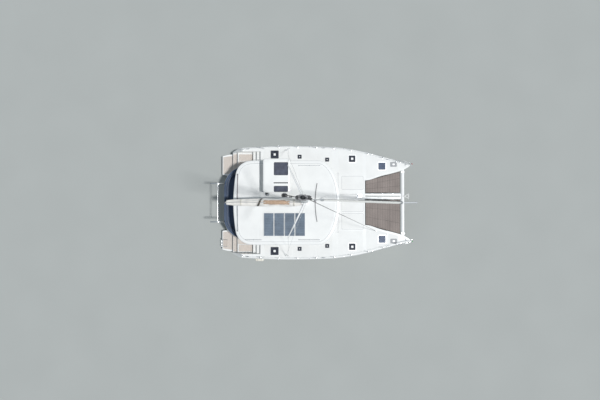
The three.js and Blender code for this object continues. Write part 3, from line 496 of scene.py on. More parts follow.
def make_cells(name, colour=(0.135, 0.17, 0.215)):
    """Solar cells: a grid of thin pale lines on blue-grey cells under glass."""
    made = Surface(name, 0.16, coat=0.6)
    lines = made.math("MAXIMUM", made.stripes(0, 0.0522, 0.05), made.stripes(1, 0.158, 0.025))
    cells = made.tones(made.noise(2.0), colour, 0.8, 1.25)
    made.feed("Base Color", made.mixed(made.math("MULTIPLY", lines, 0.55), cells, (0.42, 0.46, 0.52)))
    return made.material


def make_glass(name, colour, alpha):
    made = Surface(name, 0.04, coat=0.5)
    made.feed("Base Color", made.tones(made.noise(3.0), colour, 0.8, 1.2))
    made.feed("Alpha", alpha)
    return made.material


def make_varnish(name, colour=(0.42, 0.25, 0.13)):
    made = Surface(name, 0.25, coat=0.5)
    grain = made.noise(4.0, 8.0, (1.0, 16.0, 16.0))
    made.feed("Base Color", made.tones(grain, colour, 0.75, 1.2))
    made.bump(grain, 0.08, 0.001)
    return made.material


GELCOAT = mottled("gelcoat", (0.86, 0.86, 0.84), 0.22, spread=0.025, scale=0.7, grain=0.02,
                  grain_scale=40.0, coat=0.4)
NONSKID = make_nonskid("nonskid")
TEAK = make_teak("teak")
STEEL = mottled("stainless", (0.72, 0.73, 0.74), 0.22, 1.0, spread=0.05, scale=8.0, grain=0.05)
ALLOY = mottled("alloy", (0.76, 0.77, 0.78), 0.38, 0.85, spread=0.05, scale=2.0, grain=0.05,
                grain_scale=500.0)
WHITE_PAINT = mottled("white_paint", (0.84, 0.84, 0.83), 0.3, spread=0.03, scale=2.0)
ANTIFOUL = mottled("antifouling", (0.028, 0.045, 0.075), 0.75, spread=0.22, scale=2.2, grain=0.3,
                   grain_scale=60.0)
BOOT = mottled("boot_stripe", (0.03, 0.06, 0.14), 0.3, spread=0.1)
BLACK = mottled("black_plastic", (0.03, 0.03, 0.032), 0.45, spread=0.2, scale=20.0, grain=0.1)
PALE_GREY = mottled("pale_grey", (0.50, 0.51, 0.49), 0.5, spread=0.08, scale=9.0, grain=0.1)
HATCH_FRAME = mottled("hatch_frame", (0.075, 0.08, 0.09), 0.45, spread=0.12, scale=12.0, grain=0.1)
GREY = mottled("grey_plastic", (0.30, 0.31, 0.32), 0.5, spread=0.1, scale=12.0, grain=0.1)
ACRYLIC = mottled("smoked_acrylic", (0.040, 0.045, 0.060), 0.16, spread=0.25, scale=5.0)
PALE_ACRYLIC = mottled("pale_acrylic", (0.10, 0.125, 0.185), 0.12, spread=0.2, scale=4.0)
CANOPY_PANE = mottled("smoked_canopy_pane", (0.088, 0.095, 0.125), 0.2, spread=0.2, scale=4.0)
DARK_METAL = mottled("dark_metal", (0.16, 0.16, 0.165), 0.4, 0.6, spread=0.12, scale=6.0, grain=0.1)
TRACK_GREY = mottled("track_grey", (0.30, 0.31, 0.33), 0.4, 0.5, spread=0.12, scale=6.0, grain=0.1)
for smoked in (ACRYLIC, CANOPY_PANE):
    smoked.node_tree.nodes["Principled BSDF"].inputs["Specular IOR Level"].default_value = 0.25
TINT = make_glass("tinted_glass", (0.03, 0.04, 0.055), 0.72)
NET = make_netting("net")
NET_BORDER = make_weave("net_border", (0.075, 0.068, 0.062), 0.005, spread=0.12, scale=12.0)
CANVAS = make_weave("bag_canvas", (0.90, 0.86, 0.80), spread=0.09)
STRAP = make_weave("strap", (0.10, 0.085, 0.065), 0.004, spread=0.12, scale=12.0)
SAIL = make_weave("sailcloth", (0.80, 0.79, 0.75), 0.010, spread=0.04, strength=0.15)
SAIL_TAN = make_weave("sail_tan", (0.52, 0.36, 0.25), 0.010, spread=0.2, strength=0.2, scale=6.0)
# dark cloth for the headsail's guard strip, laid on the roll's port side only, where it is also painted
# shade
GUARD_AND_SHADE = make_weave("guard_strip_and_shade", (0.035, 0.050, 0.048), 0.008, spread=0.15, scale=4.0)
CUSHION = make_weave("cushion_cloth", (0.055, 0.085, 0.15), 0.004, spread=0.12, scale=5.0)
CREAM = make_weave("cream_cloth", (0.70, 0.66, 0.58), 0.004, spread=0.06, scale=5.0)
CELLS = make_cells("solar_cells")
VARNISH = make_varnish("varnish")
ROPE_WHITE, ROPE_RED, ROPE_BROWN, ROPE_BLUE, ROPE_GREY = (
    make_weave(f"rope_{name}", colour, 0.008, spread=spread, scale=20.0) for name, colour, spread in (
        ("white", (0.72, 0.72, 0.70), 0.12), ("red", (0.22, 0.035, 0.04), 0.2),
        ("brown", (0.16, 0.10, 0.09), 0.2), ("blue", (0.06, 0.12, 0.32), 0.2),
        ("grey", (0.22, 0.22, 0.21), 0.15)))
FENDER = mottled("fender_vinyl", (0.80, 0.77, 0.68), 0.35, scale=5.0, grain=0.05)
BRONZE = mottled("bronze", (0.42, 0.28, 0.11), 0.35, 0.9, spread=0.15, scale=14.0, grain=0.1)
GALVANISED = mottled("galvanised", (0.70, 0.71, 0.69), 0.5, 0.25, spread=0.10, scale=16.0, grain=0.2)
ZINC = mottled("zinc", (0.52, 0.53, 0.52), 0.5, 0.7, spread=0.12, scale=16.0, grain=0.3)
ENGINE_PAINT = mottled("engine_paint", (0.22, 0.26, 0.29), 0.45, spread=0.1, scale=9.0, grain=0.1)
RED_LENS = make_glass("red_lens", (0.5, 0.02, 0.02), 0.9)
GREEN_LENS = make_glass("green_lens", (0.02, 0.35, 0.06), 0.9)


# Air that the stern steps, cockpit and saloon leave free, as outlines in plan
COCKPIT_HALF = 2.40
CORNER = {"x": -4.60, "y": 1.00, "a": 1.38, "b": 1.40}
SHOULDER = {"inner": 1.90, "top": 1.00}


def ellipse_arc(cx, cy, a, b, start, end, steps=14):
    return [(cx + a * math.cos(math.radians(mix(start, end, k / steps))),
             cy + b * math.sin(math.radians(mix(start, end, k / steps)))) for k in range(steps + 1)]


def cockpit_plan(inset, fore):
    half = COCKPIT_HALF - inset
    a, b = CORNER["a"] - inset, CORNER["b"] - inset
    return ([(fore, half)] + ellipse_arc(CORNER["x"], CORNER["y"], a, b, 90, 180)
            + ellipse_arc(CORNER["x"], -CORNER["y"], a, b, 180, 270) + [(fore, -half)])


def cabin_plan(inset, steps=36):
    half = CABIN_HALF - inset
    return ([(BULKHEAD + inset, -half)]
            + ellipse_arc(CABIN_NOSE, 0, NOSE_LONG - inset, half, -90, 90, steps)
            + [(BULKHEAD + inset, half)])


STEPS = ((-5.61, 0.45), (-5.24, 0.75), (-4.14, 1.05), (-3.87, 1.30), (-3.59, 1.55))
COAMING_IN = 3.43


def stern_air():
    """The space over each tread and behind the sloped stern, less what stands beside the treads."""
    high, far, wide = 3.0, -7.0, 4.2
    # the treads stop at the coaming, apart from the platform, which runs out to the side
    treads = []
    edges = [far] + [x for x, _ in STEPS]
    for (_, z), x0, x1 in zip(STEPS, edges, edges[1:]):
        outer = wide if x1 == STEPS[0][0] else COAMING_IN + 0.02
        treads.append(box(x0, x1, 0.0, outer, z, high))
    slope = [(far, 0.45), (-5.95, 0.45), (-4.85, 1.79), (-4.75, high), (far, high)]
    keep = [prism(cockpit_plan(0, 0.5), 0.2, high + 0.2),
            box(BRIDGE_AFT, STEPS[0][0], -0.1, SHOULDER["inner"], 0.2, SHOULDER["top"])]
    return [carved(air, keep) for air in (*treads, prism_y(slope, 0.0, wide))]


# Hull form
STATIONS = (
    # x, outer and inner edge of the deck, outer and inner edge at the waterline, underside
    (-6.400, 3.380, 1.930, 3.240, 1.990, -0.140),
    (-5.981, 3.560, 1.900, 3.300, 1.930, -0.260),
    (-4.000, 3.760, 1.880, 3.370, 1.870, -0.520),
    (-2.000, 3.830, 1.850, 3.400, 1.840, KEEL_LINE),
    (1.300, 3.745, 1.880, 3.350, 1.870, KEEL_LINE),
    (2.550, 3.580, 1.700, 3.260, 1.930, -0.600),
    (3.421, 3.400, 1.490, 3.150, 1.990, -0.570),
    (4.520, 3.110, 1.792, 2.960, 2.130, -0.510),
    (5.920, 2.720, 2.180, 2.690, 2.360, -0.400),
    (6.300, 2.610, 2.380, 2.595, 2.450, -0.310),
    (6.430, 2.550, 2.490, 2.540, 2.500, -0.180),
)
STATION_X = np.array([row[0] for row in STATIONS])


def eased(column, x):
    """A station column at x: a cubic that never overshoots its stations."""
    values = np.array([row[column] for row in STATIONS])
    i = int(min(max(np.searchsorted(STATION_X, x) - 1, 0), len(STATION_X) - 2))
    step = np.diff(STATION_X)
    slope = np.diff(values) / step

    def tangent(k):
        if k == 0:
            return slope[0]
        if k == len(values) - 1:
            return slope[-1]
        if slope[k - 1] * slope[k] <= 0:
            return 0.0
        w0, w1 = 2 * step[k] + step[k - 1], step[k] + 2 * step[k - 1]
        return (w0 + w1) / (w0 / slope[k - 1] + w1 / slope[k])
    t = (x - STATION_X[i]) / step[i]
    t = min(max(t, 0.0), 1.0)
    return ((2 * t ** 3 - 3 * t * t + 1) * values[i] + (t ** 3 - 2 * t * t + t) * step[i] * tangent(i)
            + (3 * t * t - 2 * t ** 3) * values[i + 1] + (t ** 3 - t * t) * step[i] * tangent(i + 1))


def hull_ring(x, bridge):
    """One section of the hull, from the inner deck edge over the gunwale and round under the keel line."""
    outer, inner, wl_out, wl_in, keel = (float(eased(c, x)) for c in (1, 2, 3, 4, 5))
    if bridge:
        inner = BRIDGE_HALF
    top = deck_z(x)
    width = wl_out - wl_in
    middle = (wl_out + wl_in) / 2
    edge = min(0.07, 0.3 * (outer - inner))
    gunwale = [(outer - edge + edge * math.sin(math.radians(a)),
                top - edge * 1.2 * (1 - math.cos(math.radians(a)))) for a in (0, 22.5, 45, 67.5, 90)]
    knuckle = (mix(wl_out, outer, 0.72), 0.95)
    topside = ((outer, top - 0.12), (mix(wl_out, outer, 0.93), 1.35), knuckle)
    lower = (knuckle, (mix(wl_out, outer, 0.25), 0.33), (wl_out, -0.06),
             (wl_out - 0.15 * width, 0.65 * keel), (middle + 0.14 * width, keel))
    under = ((middle - 0.14 * width, keel), (wl_in + 0.15 * width, 0.65 * keel), (wl_in, -0.06),
             (wl_in - 0.015, 0.35))
    if bridge:
        haunch = [(wl_in - 0.02, 0.52), (wl_in - 0.06, 0.64), (BRIDGE_HALF, TUNNEL)]
    else:
        haunch = [(mix(inner, wl_in, 0.8), 0.8), (mix(inner, wl_in, 0.5), 1.15), (inner, top - 0.13)]
    topside, lower, under = ([(p.y, p.z) for p in curve([(0, *p) for p in part], steps)]
                             for part, steps in ((topside, 4), (lower, 5), (under, 5)))
    return [(x, y, z) for y, z in [(inner, top)] + gunwale + topside[1:] + lower[1:] + under + haunch]


def hull_shape():
    aft = list(np.linspace(-6.4, -5.981, 5))
    middle = list(np.linspace(-5.98, 3.42, 48))
    fore = list(np.linspace(3.421, 5.9, 14)) + list(np.linspace(6.0, 6.43, 8))
    rings = [hull_ring(float(x), False) for x in aft] + [hull_ring(float(x), True) for x in middle]
    rings += [hull_ring(float(x), False) for x in fore]
    return loft(rings)


HATCHES = (
    # name, x, y, size of the lid
    ("aft", -2.63, 3.24, 0.54),
    ("saloon", 2.56, 2.94, 0.44),
    ("forward", 4.545, 2.44, 0.48),
)
HATCH_PAD = 0.016
LID_THICK = 0.04
# lid in plan, and the bay under it with its heights
ENGINE_LID = (-5.18, -4.18, 2.88, 3.37)
ENGINE_BAY = (-5.20, -4.16, 2.30, 3.23, 0.06, 0.86)
RUDDER_X = -5.60
LEG_X = -4.33
SHAFT_Z = -0.82
BEAM = {"x": 5.94, "half": 0.12, "z0": 1.79, "z1": 1.97, "tip": 2.33}
RUN = 0.006
HULL_EDGE = 28
PAINT_TOP = 0.07
STRIPE = (0.12, 0.16)


def hatch_top(x):
    return deck_z(x) + HATCH_PAD


def beam_shape(grow=0.0, sides=28):
    middle = (BEAM["z0"] + BEAM["z1"]) / 2
    tall = (BEAM["z1"] - BEAM["z0"]) / 2 + grow
    rings = [[(BEAM["x"] + (BEAM["half"] + grow) * math.cos(TAU * k / sides), y,
               middle + tall * math.sin(TAU * k / sides)) for k in range(sides)]
             for y in (-BEAM["tip"] - grow, BEAM["tip"] + grow)]
    return loft(rings)


def make_hull():
    pads = [square(x, y, size / 2 + 0.03, deck_z(x) - 0.06, hatch_top(x), 0.05)
            for _, x, y, size in HATCHES]
    wells = [square(x, y, size / 2 - 0.04, deck_z(x) - 0.30, hatch_top(x) + 0.05, 0.04)
             for _, x, y, size in HATCHES]
    tread = STEPS[2][1]
    cuts = stern_air() + wells + [
        prism(cabin_plan(-GAP), SOLE, 3.0),
        prism(cockpit_plan(0.12, BULKHEAD), SOLE, 3.0),
        box(*grown(*ENGINE_LID, RUN), tread - LID_THICK, 1.2),
        box(*grown(*ENGINE_LID, -0.04), ENGINE_BAY[-1] - 0.01, 1.2),
        box(*ENGINE_BAY),
        rod((RUDDER_X, HULL_MID, -0.6), (RUDDER_X, HULL_MID, -0.15), 0.0365, 24),
        box(LEG_X - 0.19, LEG_X + 0.15, HULL_MID - 0.066, HULL_MID + 0.066, -0.75, 0.2),
        beam_shape(0.002),
    ]
    shape = carved(hull_shape(), cuts, pads)
    on_both_sides(lambda side, own: paint_bottom(
        piece(f"hull_{side}_skin", own(shape), GELCOAT, stands_for=(f"hull_{side}",),
              angle=HULL_EDGE)))


def paint_bottom(made):
    """Antifouling below its line and a thin stripe above it, by face."""
    made.data.materials.append(ANTIFOUL)
    made.data.materials.append(BOOT)
    work = bmesh.new()
    work.from_mesh(made.data)
    for z in (PAINT_TOP, *STRIPE):
        everything = work.verts[:] + work.edges[:] + work.faces[:]
        bmesh.ops.bisect_plane(work, geom=everything, plane_co=(0, 0, z), plane_no=(0, 0, 1))
    for face in work.faces:
        z = face.calc_center_median().z
        inside_bay = z > -0.1 and face.normal.z > 0.9
        if z < PAINT_TOP and not inside_bay:
            face.material_index = 1
        elif STRIPE[0] < z < STRIPE[1] and abs(face.normal.z) < 0.8:
            face.material_index = 2
    work.to_mesh(made.data)
    work.free()
    made.data.set_sharp_from_angle(angle=math.radians(HULL_EDGE))


make_hull()


# Solids that keep their own shape, with soft edges and a worked surface
def dress(node, material, bevel=0.0, angle=30):
    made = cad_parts[node]
    made.data.materials.clear()
    made.data.materials.append(material)
    made.data.shade_smooth()
    made.data.set_sharp_from_angle(angle=math.radians(angle))
    if bevel:
        softened(made, bevel)
    return made


def inset_outline(outline, distance):
    """An anticlockwise outline moved inwards by distance."""
    points = [Vector(p) for p in outline]
    result = []
    for i, p in enumerate(points):
        before, after = (p - points[i - 1]).normalized(), (points[(i + 1) % len(points)] - p).normalized()
        inward = Vector((-(before.y + after.y), before.x + after.x)).normalized()
        stretch = max(0.5, inward.dot(Vector((-after.y, after.x))))
        result.append(tuple(p + inward * (distance / stretch)))
    return result


def rounded(outline, r, steps=4):
    """An outline with its sharp corners rounded off."""
    result = []
    count = len(outline)
    for i in range(count):
        p, q, s = (Vector(outline[(i + k) % count]) for k in (-1, 0, 1))
        a, b = p - q, s - q
        if a.angle(b) > math.radians(150):
            result.append(tuple(q))
            continue
        reach = min(r, a.length * 0.45, b.length * 0.45)
        a, b = q + a.normalized() * reach, q + b.normalized() * reach
        for k in range(steps + 1):
            t = k / steps
            result.append(tuple(a * (1 - t) ** 2 + q * (2 * t * (1 - t)) + b * (t * t)))
    return result


def on_deck(outline, lift, thick=0.002, height=deck_z):
    """A thin plate lying on the sloping deck."""
    return loft([[(x, y, height(x) + lift) for x, y in outline],
                 [(x, y, height(x) + lift + thick) for x, y in outline]])


def seam(outline, width, z):
    """A narrow flat band just inside an outline; z is a number or a height at x."""
    height = z if callable(z) else (lambda x: z)
    inner = inset_outline(outline, width)
    count = len(outline)
    points = [(x, y, height(x)) for x, y in outline] + [(x, y, height(x)) for x, y in inner]
    faces = [(k, (k + 1) % count, count + (k + 1) % count, count + k) for k in range(count)]
    return points, faces


def quadratic(a, b, c, steps=8):
    return [tuple(Vector(a) * (1 - t) ** 2 + Vector(b) * (2 * t * (1 - t)) + Vector(c) * (t * t))
            for t in (k / steps for k in range(1, steps + 1))]


def roof_plan():
    half = 2.69
    side = -3.86
    outline = [(side, -half)] + ellipse_arc(CABIN_NOSE, 0, 1.42, half, -90, 90, 48) + [(side, half)]
    outline += quadratic((side, half), (-4.85, 2.66), (-5.02, 1.85))
    outline += quadratic((-5.02, 1.85), (-5.335, 0), (-5.02, -1.85), 12)
    outline += quadratic((-5.02, -1.85), (-4.85, -2.66), (side, -half))
    return outline[:-1]


HELM_OPENING = (-3.20, -2.075, 0.79, 2.41)
ROOF_UNDER = 3.16
THROUGH = (3.0, 3.5)
ROOF_ROWS = ((ROOF_UNDER, 0.05), (3.172, 0.012), (3.190, 0.0), (3.235, 0.0), (3.262, 0.014), (3.283, 0.05),
             (3.295, 0.10), (ROOF_TOP, 0.19))
HARDTOP_LIGHTS = ((-2.9, -1.6), (-2.9, 0.2), (-4.2, -1.6), (-4.2, 0), (-4.2, 1.6))


def make_roof():
    plan = roof_plan()
    rings = [[(x, y, z) for x, y in inset_outline(plan, inset)] for z, inset in ROOF_ROWS]
    opening = prism(round_rect(*HELM_OPENING, 0.1), *THROUGH)
    piece("roof_shell", carved(loft(rings), [opening]), GELCOAT, stands_for=("roof",), angle=30)
    x0, x1, y0, y1 = grown(*HELM_OPENING, 0.10)
    over = (ROOF_TOP - 0.1, ROOF_TOP + 0.2)
    clear = [prism(round_rect(x0, x1 + 0.02, y0, y1, 0.14), *over)]
    clear += [box(*gap, *over) for gap in ((-1.10, -1.04, -4, 4), (-3.62, -3.56, -4, 4))]
    clear.append(prism([(-6, -0.03), (2, -0.03), (2, 0.03), (-6, 0.03)], *over))
    grip = prism(inset_outline(plan, 0.33), ROOF_TOP - 0.002, ROOF_TOP + 0.0018)
    piece("roof_nonskid", carved(grip, clear), NONSKID)
    # a lip round the opening, and gutters that lead the rain to the after corners
    lip = [seam(round_rect(*grown(*HELM_OPENING, 0.05), 0.14), 0.012, ROOF_TOP + 0.0016),
           seam(inset_outline(plan, 0.20), 0.014, ROOF_TOP + 0.0006)]
    piece("roof_gutters", lip, GREY, clean=False)
    holes = [prism(round_rect(*grown(*HELM_OPENING, 0.02), 0.1), *THROUGH),
             prism(cabin_plan(-0.01), *THROUGH)]
    lining = prism(inset_outline(plan, 0.16), ROOF_UNDER - 0.010, ROOF_UNDER - 0.001)
    piece("hardtop_lining", carved(lining, holes), CREAM)
    lights = [button(*spot, 3.142, 0.045, 0.05, 0.009, sides=20) for spot in HARDTOP_LIGHTS]
    piece("hardtop_lights", lights, ALLOY)


make_roof()
for node, material, width in (
        ("bridgedeck", GELCOAT, 0.008), ("cabin_shell", GELCOAT, 0.006), ("cabin_glazing", TINT, 0.002),
        ("cockpit_coaming", GELCOAT, 0.018), ("cockpit_bench", GELCOAT, 0.012),
        ("cockpit_table", VARNISH, 0.006), ("helm_station", GELCOAT, 0.010),
        ("saloon_furniture", VARNISH, 0.006), ("saloon_table", VARNISH, 0.006),
        ("spreaders", WHITE_PAINT, 0.0), ("cap_shroud_port", STEEL, 0.0),
        ("cap_shroud_starboard", STEEL, 0.0), ("lower_shroud_port", STEEL, 0.0),
        ("lower_shroud_starboard", STEEL, 0.0), ("furler_drum", STEEL, 0.003),
        ("crossbeam", WHITE_PAINT, 0.0), ("longeron", WHITE_PAINT, 0.006), ("bowsprit", ALLOY, 0.0),
        ("windlass", STEEL, 0.004), ("guard_rail_port", STEEL, 0.0), ("guard_rail_starboard", STEEL, 0.0),
        ("jib_track", DARK_METAL, 0.002), ("traveller_track", TRACK_GREY, 0.002),
        ("helm_canopy", GELCOAT, 0.0)):
    dress(node, material, width)


# Deck: grip patches, locker lids, treads
def outer_edge(x):
    return float(eased(1, x))


def inner_edge(x):
    return float(eased(2, x))


def cabin_edge(x):
    """Half width of the deckhouse wall at x."""
    if x <= CABIN_NOSE:
        return CABIN_HALF
    if x >= CABIN_NOSE + NOSE_LONG:
        return 0.0
    return CABIN_HALF * math.sqrt(1 - ((x - CABIN_NOSE) / NOSE_LONG) ** 2)


def strip(x0, x1, low, high, steps=14):
    """Plan outline between two curves low(x) and high(x), anticlockwise."""
    xs = [mix(x0, x1, k / steps) for k in range(steps + 1)]
    return [(x, low(x)) for x in xs] + [(x, high(x)) for x in reversed(xs)]


def deck_patches():
    rim = lambda x: outer_edge(x) - 0.17
    outlines = [strip(x0, x1, lambda x: 2.80, rim) for x0, x1 in ((-3.35, -1.45), (-1.39, 0.12))]
    outlines += [strip(0.18, 1.22, lambda x: max(cabin_edge(x) + 0.16, 1.1), rim, 20),
                 strip(1.66, 3.26, lambda x: 1.90, rim),
                 strip(3.50, 4.90, lambda x: inner_edge(x) + 0.13, rim),
                 strip(4.96, 5.62, lambda x: inner_edge(x) + 0.12, rim)]
    return merged(*(on_deck(rounded(outline, 0.07), 0.0, 0.0022) for outline in outlines))


LOCKER_LIDS = ((1.86, 3.30, 0.88, 1.78), (1.86, 3.30, -0.60, 0.12), (1.86, 3.30, -1.78, -0.72))


def foredeck_lids():
    """Locker lids and grip patches between the deckhouse and the trampolines."""
    outlines = [round_rect(*lid, 0.06) for lid in LOCKER_LIDS]
    seams = [seam(outline, 0.014, lambda x: deck_z(x) + 0.0012) for outline in outlines]
    grips = [on_deck(inset_outline(outline, 0.06), 0.0, 0.0022) for outline in outlines]
    gutter = rounded([(1.56, -2.0), (1.66, -2.0), (1.66, 2.0), (1.56, 2.0)], 0.02)
    seams.append(seam(gutter, 0.010, lambda x: deck_z(x) + 0.0010))
    return merged(*seams), merged(*grips)


on_both_sides(lambda side, own: piece(f"deck_nonskid_{side}", own(deck_patches()), NONSKID))
lid_seams, lid_grips = foredeck_lids()
piece("locker_seams", lid_seams, GREY, clean=False)
piece("locker_grips", lid_grips, NONSKID)


def cockpit_corner(x):
    """Outer face of the cockpit's rounded after corner at x."""
    t = (x - CORNER["x"]) / CORNER["a"]
    if t > 0:
        return CORNER["y"] + CORNER["b"]
    return CORNER["y"] + CORNER["b"] * math.sqrt(max(0.0, 1 - t * t))


def stern_treads():
    """Teak on the platform and the next two treads, black sheets on the risers as painted shade, and grip
    on the upper treads.
    """
    inner = lambda x: cockpit_corner(x) + 0.04
    platform = strip(-6.35, -5.64, lambda x: max(2.04, cockpit_corner(x) + 0.05) if x > -5.98 else 2.04,
                     lambda x: mix(3.22, 3.33, (x + 6.36) / 0.72), 16)
    second = strip(-5.595, -5.265, inner, lambda x: 3.39, 8)
    third = strip(-5.215, -4.165, inner, lambda x: ENGINE_LID[2] - 0.02, 14)
    teak = [prism(rounded(outline, r), z, z + thick) for (_, z), outline, r, thick in zip(
        STEPS, (platform, second, third), (0.08, 0.03, 0.03), (0.008, 0.008, 0.006))]
    # painted shade: thin black sheets on the risers, which face away from the light
    dark = [box(x - 0.004, x + 0.002, cockpit_corner(x) + 0.03, 3.40, z0 + 0.03, z1 - 0.03)
            for (x, z0), (_, z1) in zip(STEPS[:3], STEPS[1:4])]
    grip = [prism(round_rect(x0 + 0.03, x1 - 0.02, cockpit_corner(x0) + 0.05, 3.38, 0.03), z, z + 0.004)
            for (x0, _), (x1, z) in zip(STEPS[2:4], STEPS[3:5])]
    return teak, dark, grip


def engine_lid():
    z = STEPS[2][1]
    x0, x1, y0, y1 = ENGINE_LID
    tray = slab(*ENGINE_LID, z - LID_THICK + GAP, z - 0.001, 0.03, 0.006)
    deck = prism(round_rect(x0 + 0.025, x1 - 0.025, y0 + 0.022, y1 - 0.022, 0.03), z - 0.003, z + 0.006)
    ring = lathe([(0.0, z + 0.004), (0.022, z + 0.004), (0.03, z + 0.009), (0.036, z + 0.008), (0.036, z)],
                 (x0 + 0.12, (y0 + y1) / 2, 0), sides=20)
    return tray, deck, ring


def make_stern(side, own):
    teak, dark, grip = stern_treads()
    piece(f"stern_teak_{side}", own(*teak), TEAK)
    piece(f"stern_riser_shade_{side}", own(*dark), BLACK)
    piece(f"stern_grip_{side}", own(*grip), NONSKID)
    body = f"engine_lid_{side}"
    tray, deck, ring = engine_lid()
    piece(f"{body}_tray", own(tray), GELCOAT, body, stands_for=(body,))
    piece(f"{body}_planks", own(deck), TEAK, body)
    piece(f"{body}_lift_ring", own(ring), STEEL, body)


on_both_sides(make_stern)


# Deck hatches: frame and pane on the moving lid, a metal rim on the deck
HATCH_RIM = 0.031


def make_hatches(side, own):
    for name, x, y, size in HATCHES:
        z, half = hatch_top(x), size / 2
        body = f"hatch_lid_{name}_{side}"
        hinges = [box(x + half - 0.05, x + half - 0.002, at - 0.025, at + 0.025, z + 0.02, z + 0.034)
                  for at in (y - 0.125, y + 0.125)]
        lid = own(square(x, y, half, z + GAP, z + 0.024, 0.04, 0.006), *hinges)
        piece(f"{body}_frame", lid, HATCH_FRAME, body, stands_for=(body,))
        pane = own(square(x, y, half - 0.022, z + 0.020, z + 0.031, 0.035, 0.004))
        tint = PALE_ACRYLIC if name == "forward" else ACRYLIC
        piece(f"{body}_pane", pane, tint, body)
        # a white square in the middle of each pane, apart from the forward ones
        if name != "forward":
            white_centre = own(square(x, y, 0.075, z + 0.030, z + 0.0345, 0.02, 0.001))
            piece(f"{body}_vent", white_centre, WHITE_PAINT, body)
        grips = [button(x - half + 0.06, at, z + 0.029, 0.016, 0.014, 0.007, sides=14)
                 for at in (y - half * 0.5, y + half * 0.5)]
        piece(f"{body}_handles", own(*grips), BLACK, body)
        rim = seam(round_rect(*grown(x, x, y, y, half + HATCH_RIM), 0.064), 0.018, z + 0.0008)
        piece(f"hatch_rim_{name}_{side}", own(rim), ALLOY, clean=False)


PORTS = ((-0.955, 3.09, 0.135), (0.89, 2.89, 0.135))
BOW_FITTING = (5.32, 2.56)


def make_ports(side, own):
    """Small fixed deck lights over the cabins, and the fitting near each bow."""
    frames, panes, centres = [], [], []
    for x, y, half in PORTS:
        z = deck_z(x)
        frames.append(square(x, y, half, z - 0.004, z + 0.020, 0.03, 0.005))
        panes.append(square(x, y, half - 0.02, z + 0.016, z + 0.024, 0.025, 0.003))
        centres.append(square(x, y, 0.028, z + 0.022, z + 0.0265, 0.012, 0.001))
    piece(f"deck_light_frames_{side}", own(*frames), HATCH_FRAME)
    piece(f"deck_light_panes_{side}", own(*panes), ACRYLIC)
    piece(f"deck_light_centres_{side}", own(*centres), WHITE_PAINT)
    x, y = BOW_FITTING
    z = deck_z(x)
    mat = slab(x - 0.22, x + 0.22, y - 0.16, y + 0.16, z - 0.004, z + 0.012, 0.06, 0.004)
    lid = slab(x - 0.08, x + 0.08, y - 0.06, y + 0.06, z + 0.010, z + 0.022, 0.03, 0.003)
    piece(f"bow_mat_{side}", own(mat), GREY)
    piece(f"bow_lid_{side}", own(lid), WHITE_PAINT)


def cleat(x, y, z, length=0.30, angle=0.0):
    """A two-horned cleat with its horns along X before it is turned."""
    half = length / 2
    horns = curve([(-half, 0, 0.062), (-half * 0.5, 0, 0.058), (0, 0, 0.050), (half * 0.5, 0, 0.058),
                   (half, 0, 0.062)], 3)
    radii = [0.006 + 0.008 * math.sin(math.pi * k / (len(horns) - 1)) for k in range(len(horns))]
    base = slab(-half * 0.55, half * 0.55, -0.026, 0.026, 0.0, 0.008, 0.02, 0.002)
    legs = [rod((s * half * 0.36, 0, 0.004), (s * half * 0.30, 0, 0.054), 0.012, 10) for s in (-1, 1)]
    spot = Matrix.Translation((x, y, z)) @ Matrix.Rotation(math.radians(angle), 4, "Z")
    return turned(merged(tube(horns, radii, 8), base, *legs), spot)


# radius as a share of the drum's, and height
WINCH_ROWS = ((0.0, 0.0), (1.35, 0.0), (1.35, 0.015), (1.0, 0.03), (0.80, 0.06), (0.80, 0.09),
              (0.98, 0.115), (1.06, 0.122), (1.06, 0.134), (0.75, 0.138), (0.75, 0.150), (1.04, 0.154),
              (1.0, 0.166), (0.5, 0.172), (0.0, 0.172))


def winch(x, y, z, size):
    """A self-tailing winch on a low plinth."""
    return lathe([(size * r, z + h) for r, h in WINCH_ROWS], (x, y, 0), sides=28)


# x, distance from the gunwale, angle and length of each cleat; places of the filler caps and the chainplate
CLEATS = ((4.95, 0.12, -13, 0.30), (0.64, 0.10, 0, 0.30), (-4.45, 0.12, 5, 0.28))
FILLERS_X = (5.80, 3.9, 2.0, -0.3, -2.3)
CHAINPLATE_X = -1.70


def make_deck_gear(side, own):
    gear = [cleat(x, outer_edge(x) - inset, deck_z(x), length, angle) for x, inset, angle, length in CLEATS]
    edge, z = outer_edge(CHAINPLATE_X), deck_z(CHAINPLATE_X)
    gear.append(slab(CHAINPLATE_X - 0.10, CHAINPLATE_X + 0.10, edge - 0.20, edge - 0.18, z, z + 0.01, 0.01))
    for x in FILLERS_X:
        gear.append(button(x, outer_edge(x) - 0.055, deck_z(x) - 0.004, 0.03, 0.03, 0.006, 0.002, 14))
    piece(f"cleats_{side}", own(*gear), STEEL)


on_both_sides(make_hatches, make_ports, make_deck_gear)


# Gear on the roof: winches, clutches and turning blocks in two groups beside the boom, grab rails
WINCHES = ((-3.02, 0.56), (-1.92, 0.48))
WINCH_SIZE = 0.085
LINES_Y = (0.20, 0.252, 0.304, 0.356, 0.408)
GRAB_RAILS = ((2.36, -1.0, 0.3), (-2.36, -4.4, -3.4), (-2.36, -1.0, 0.3))


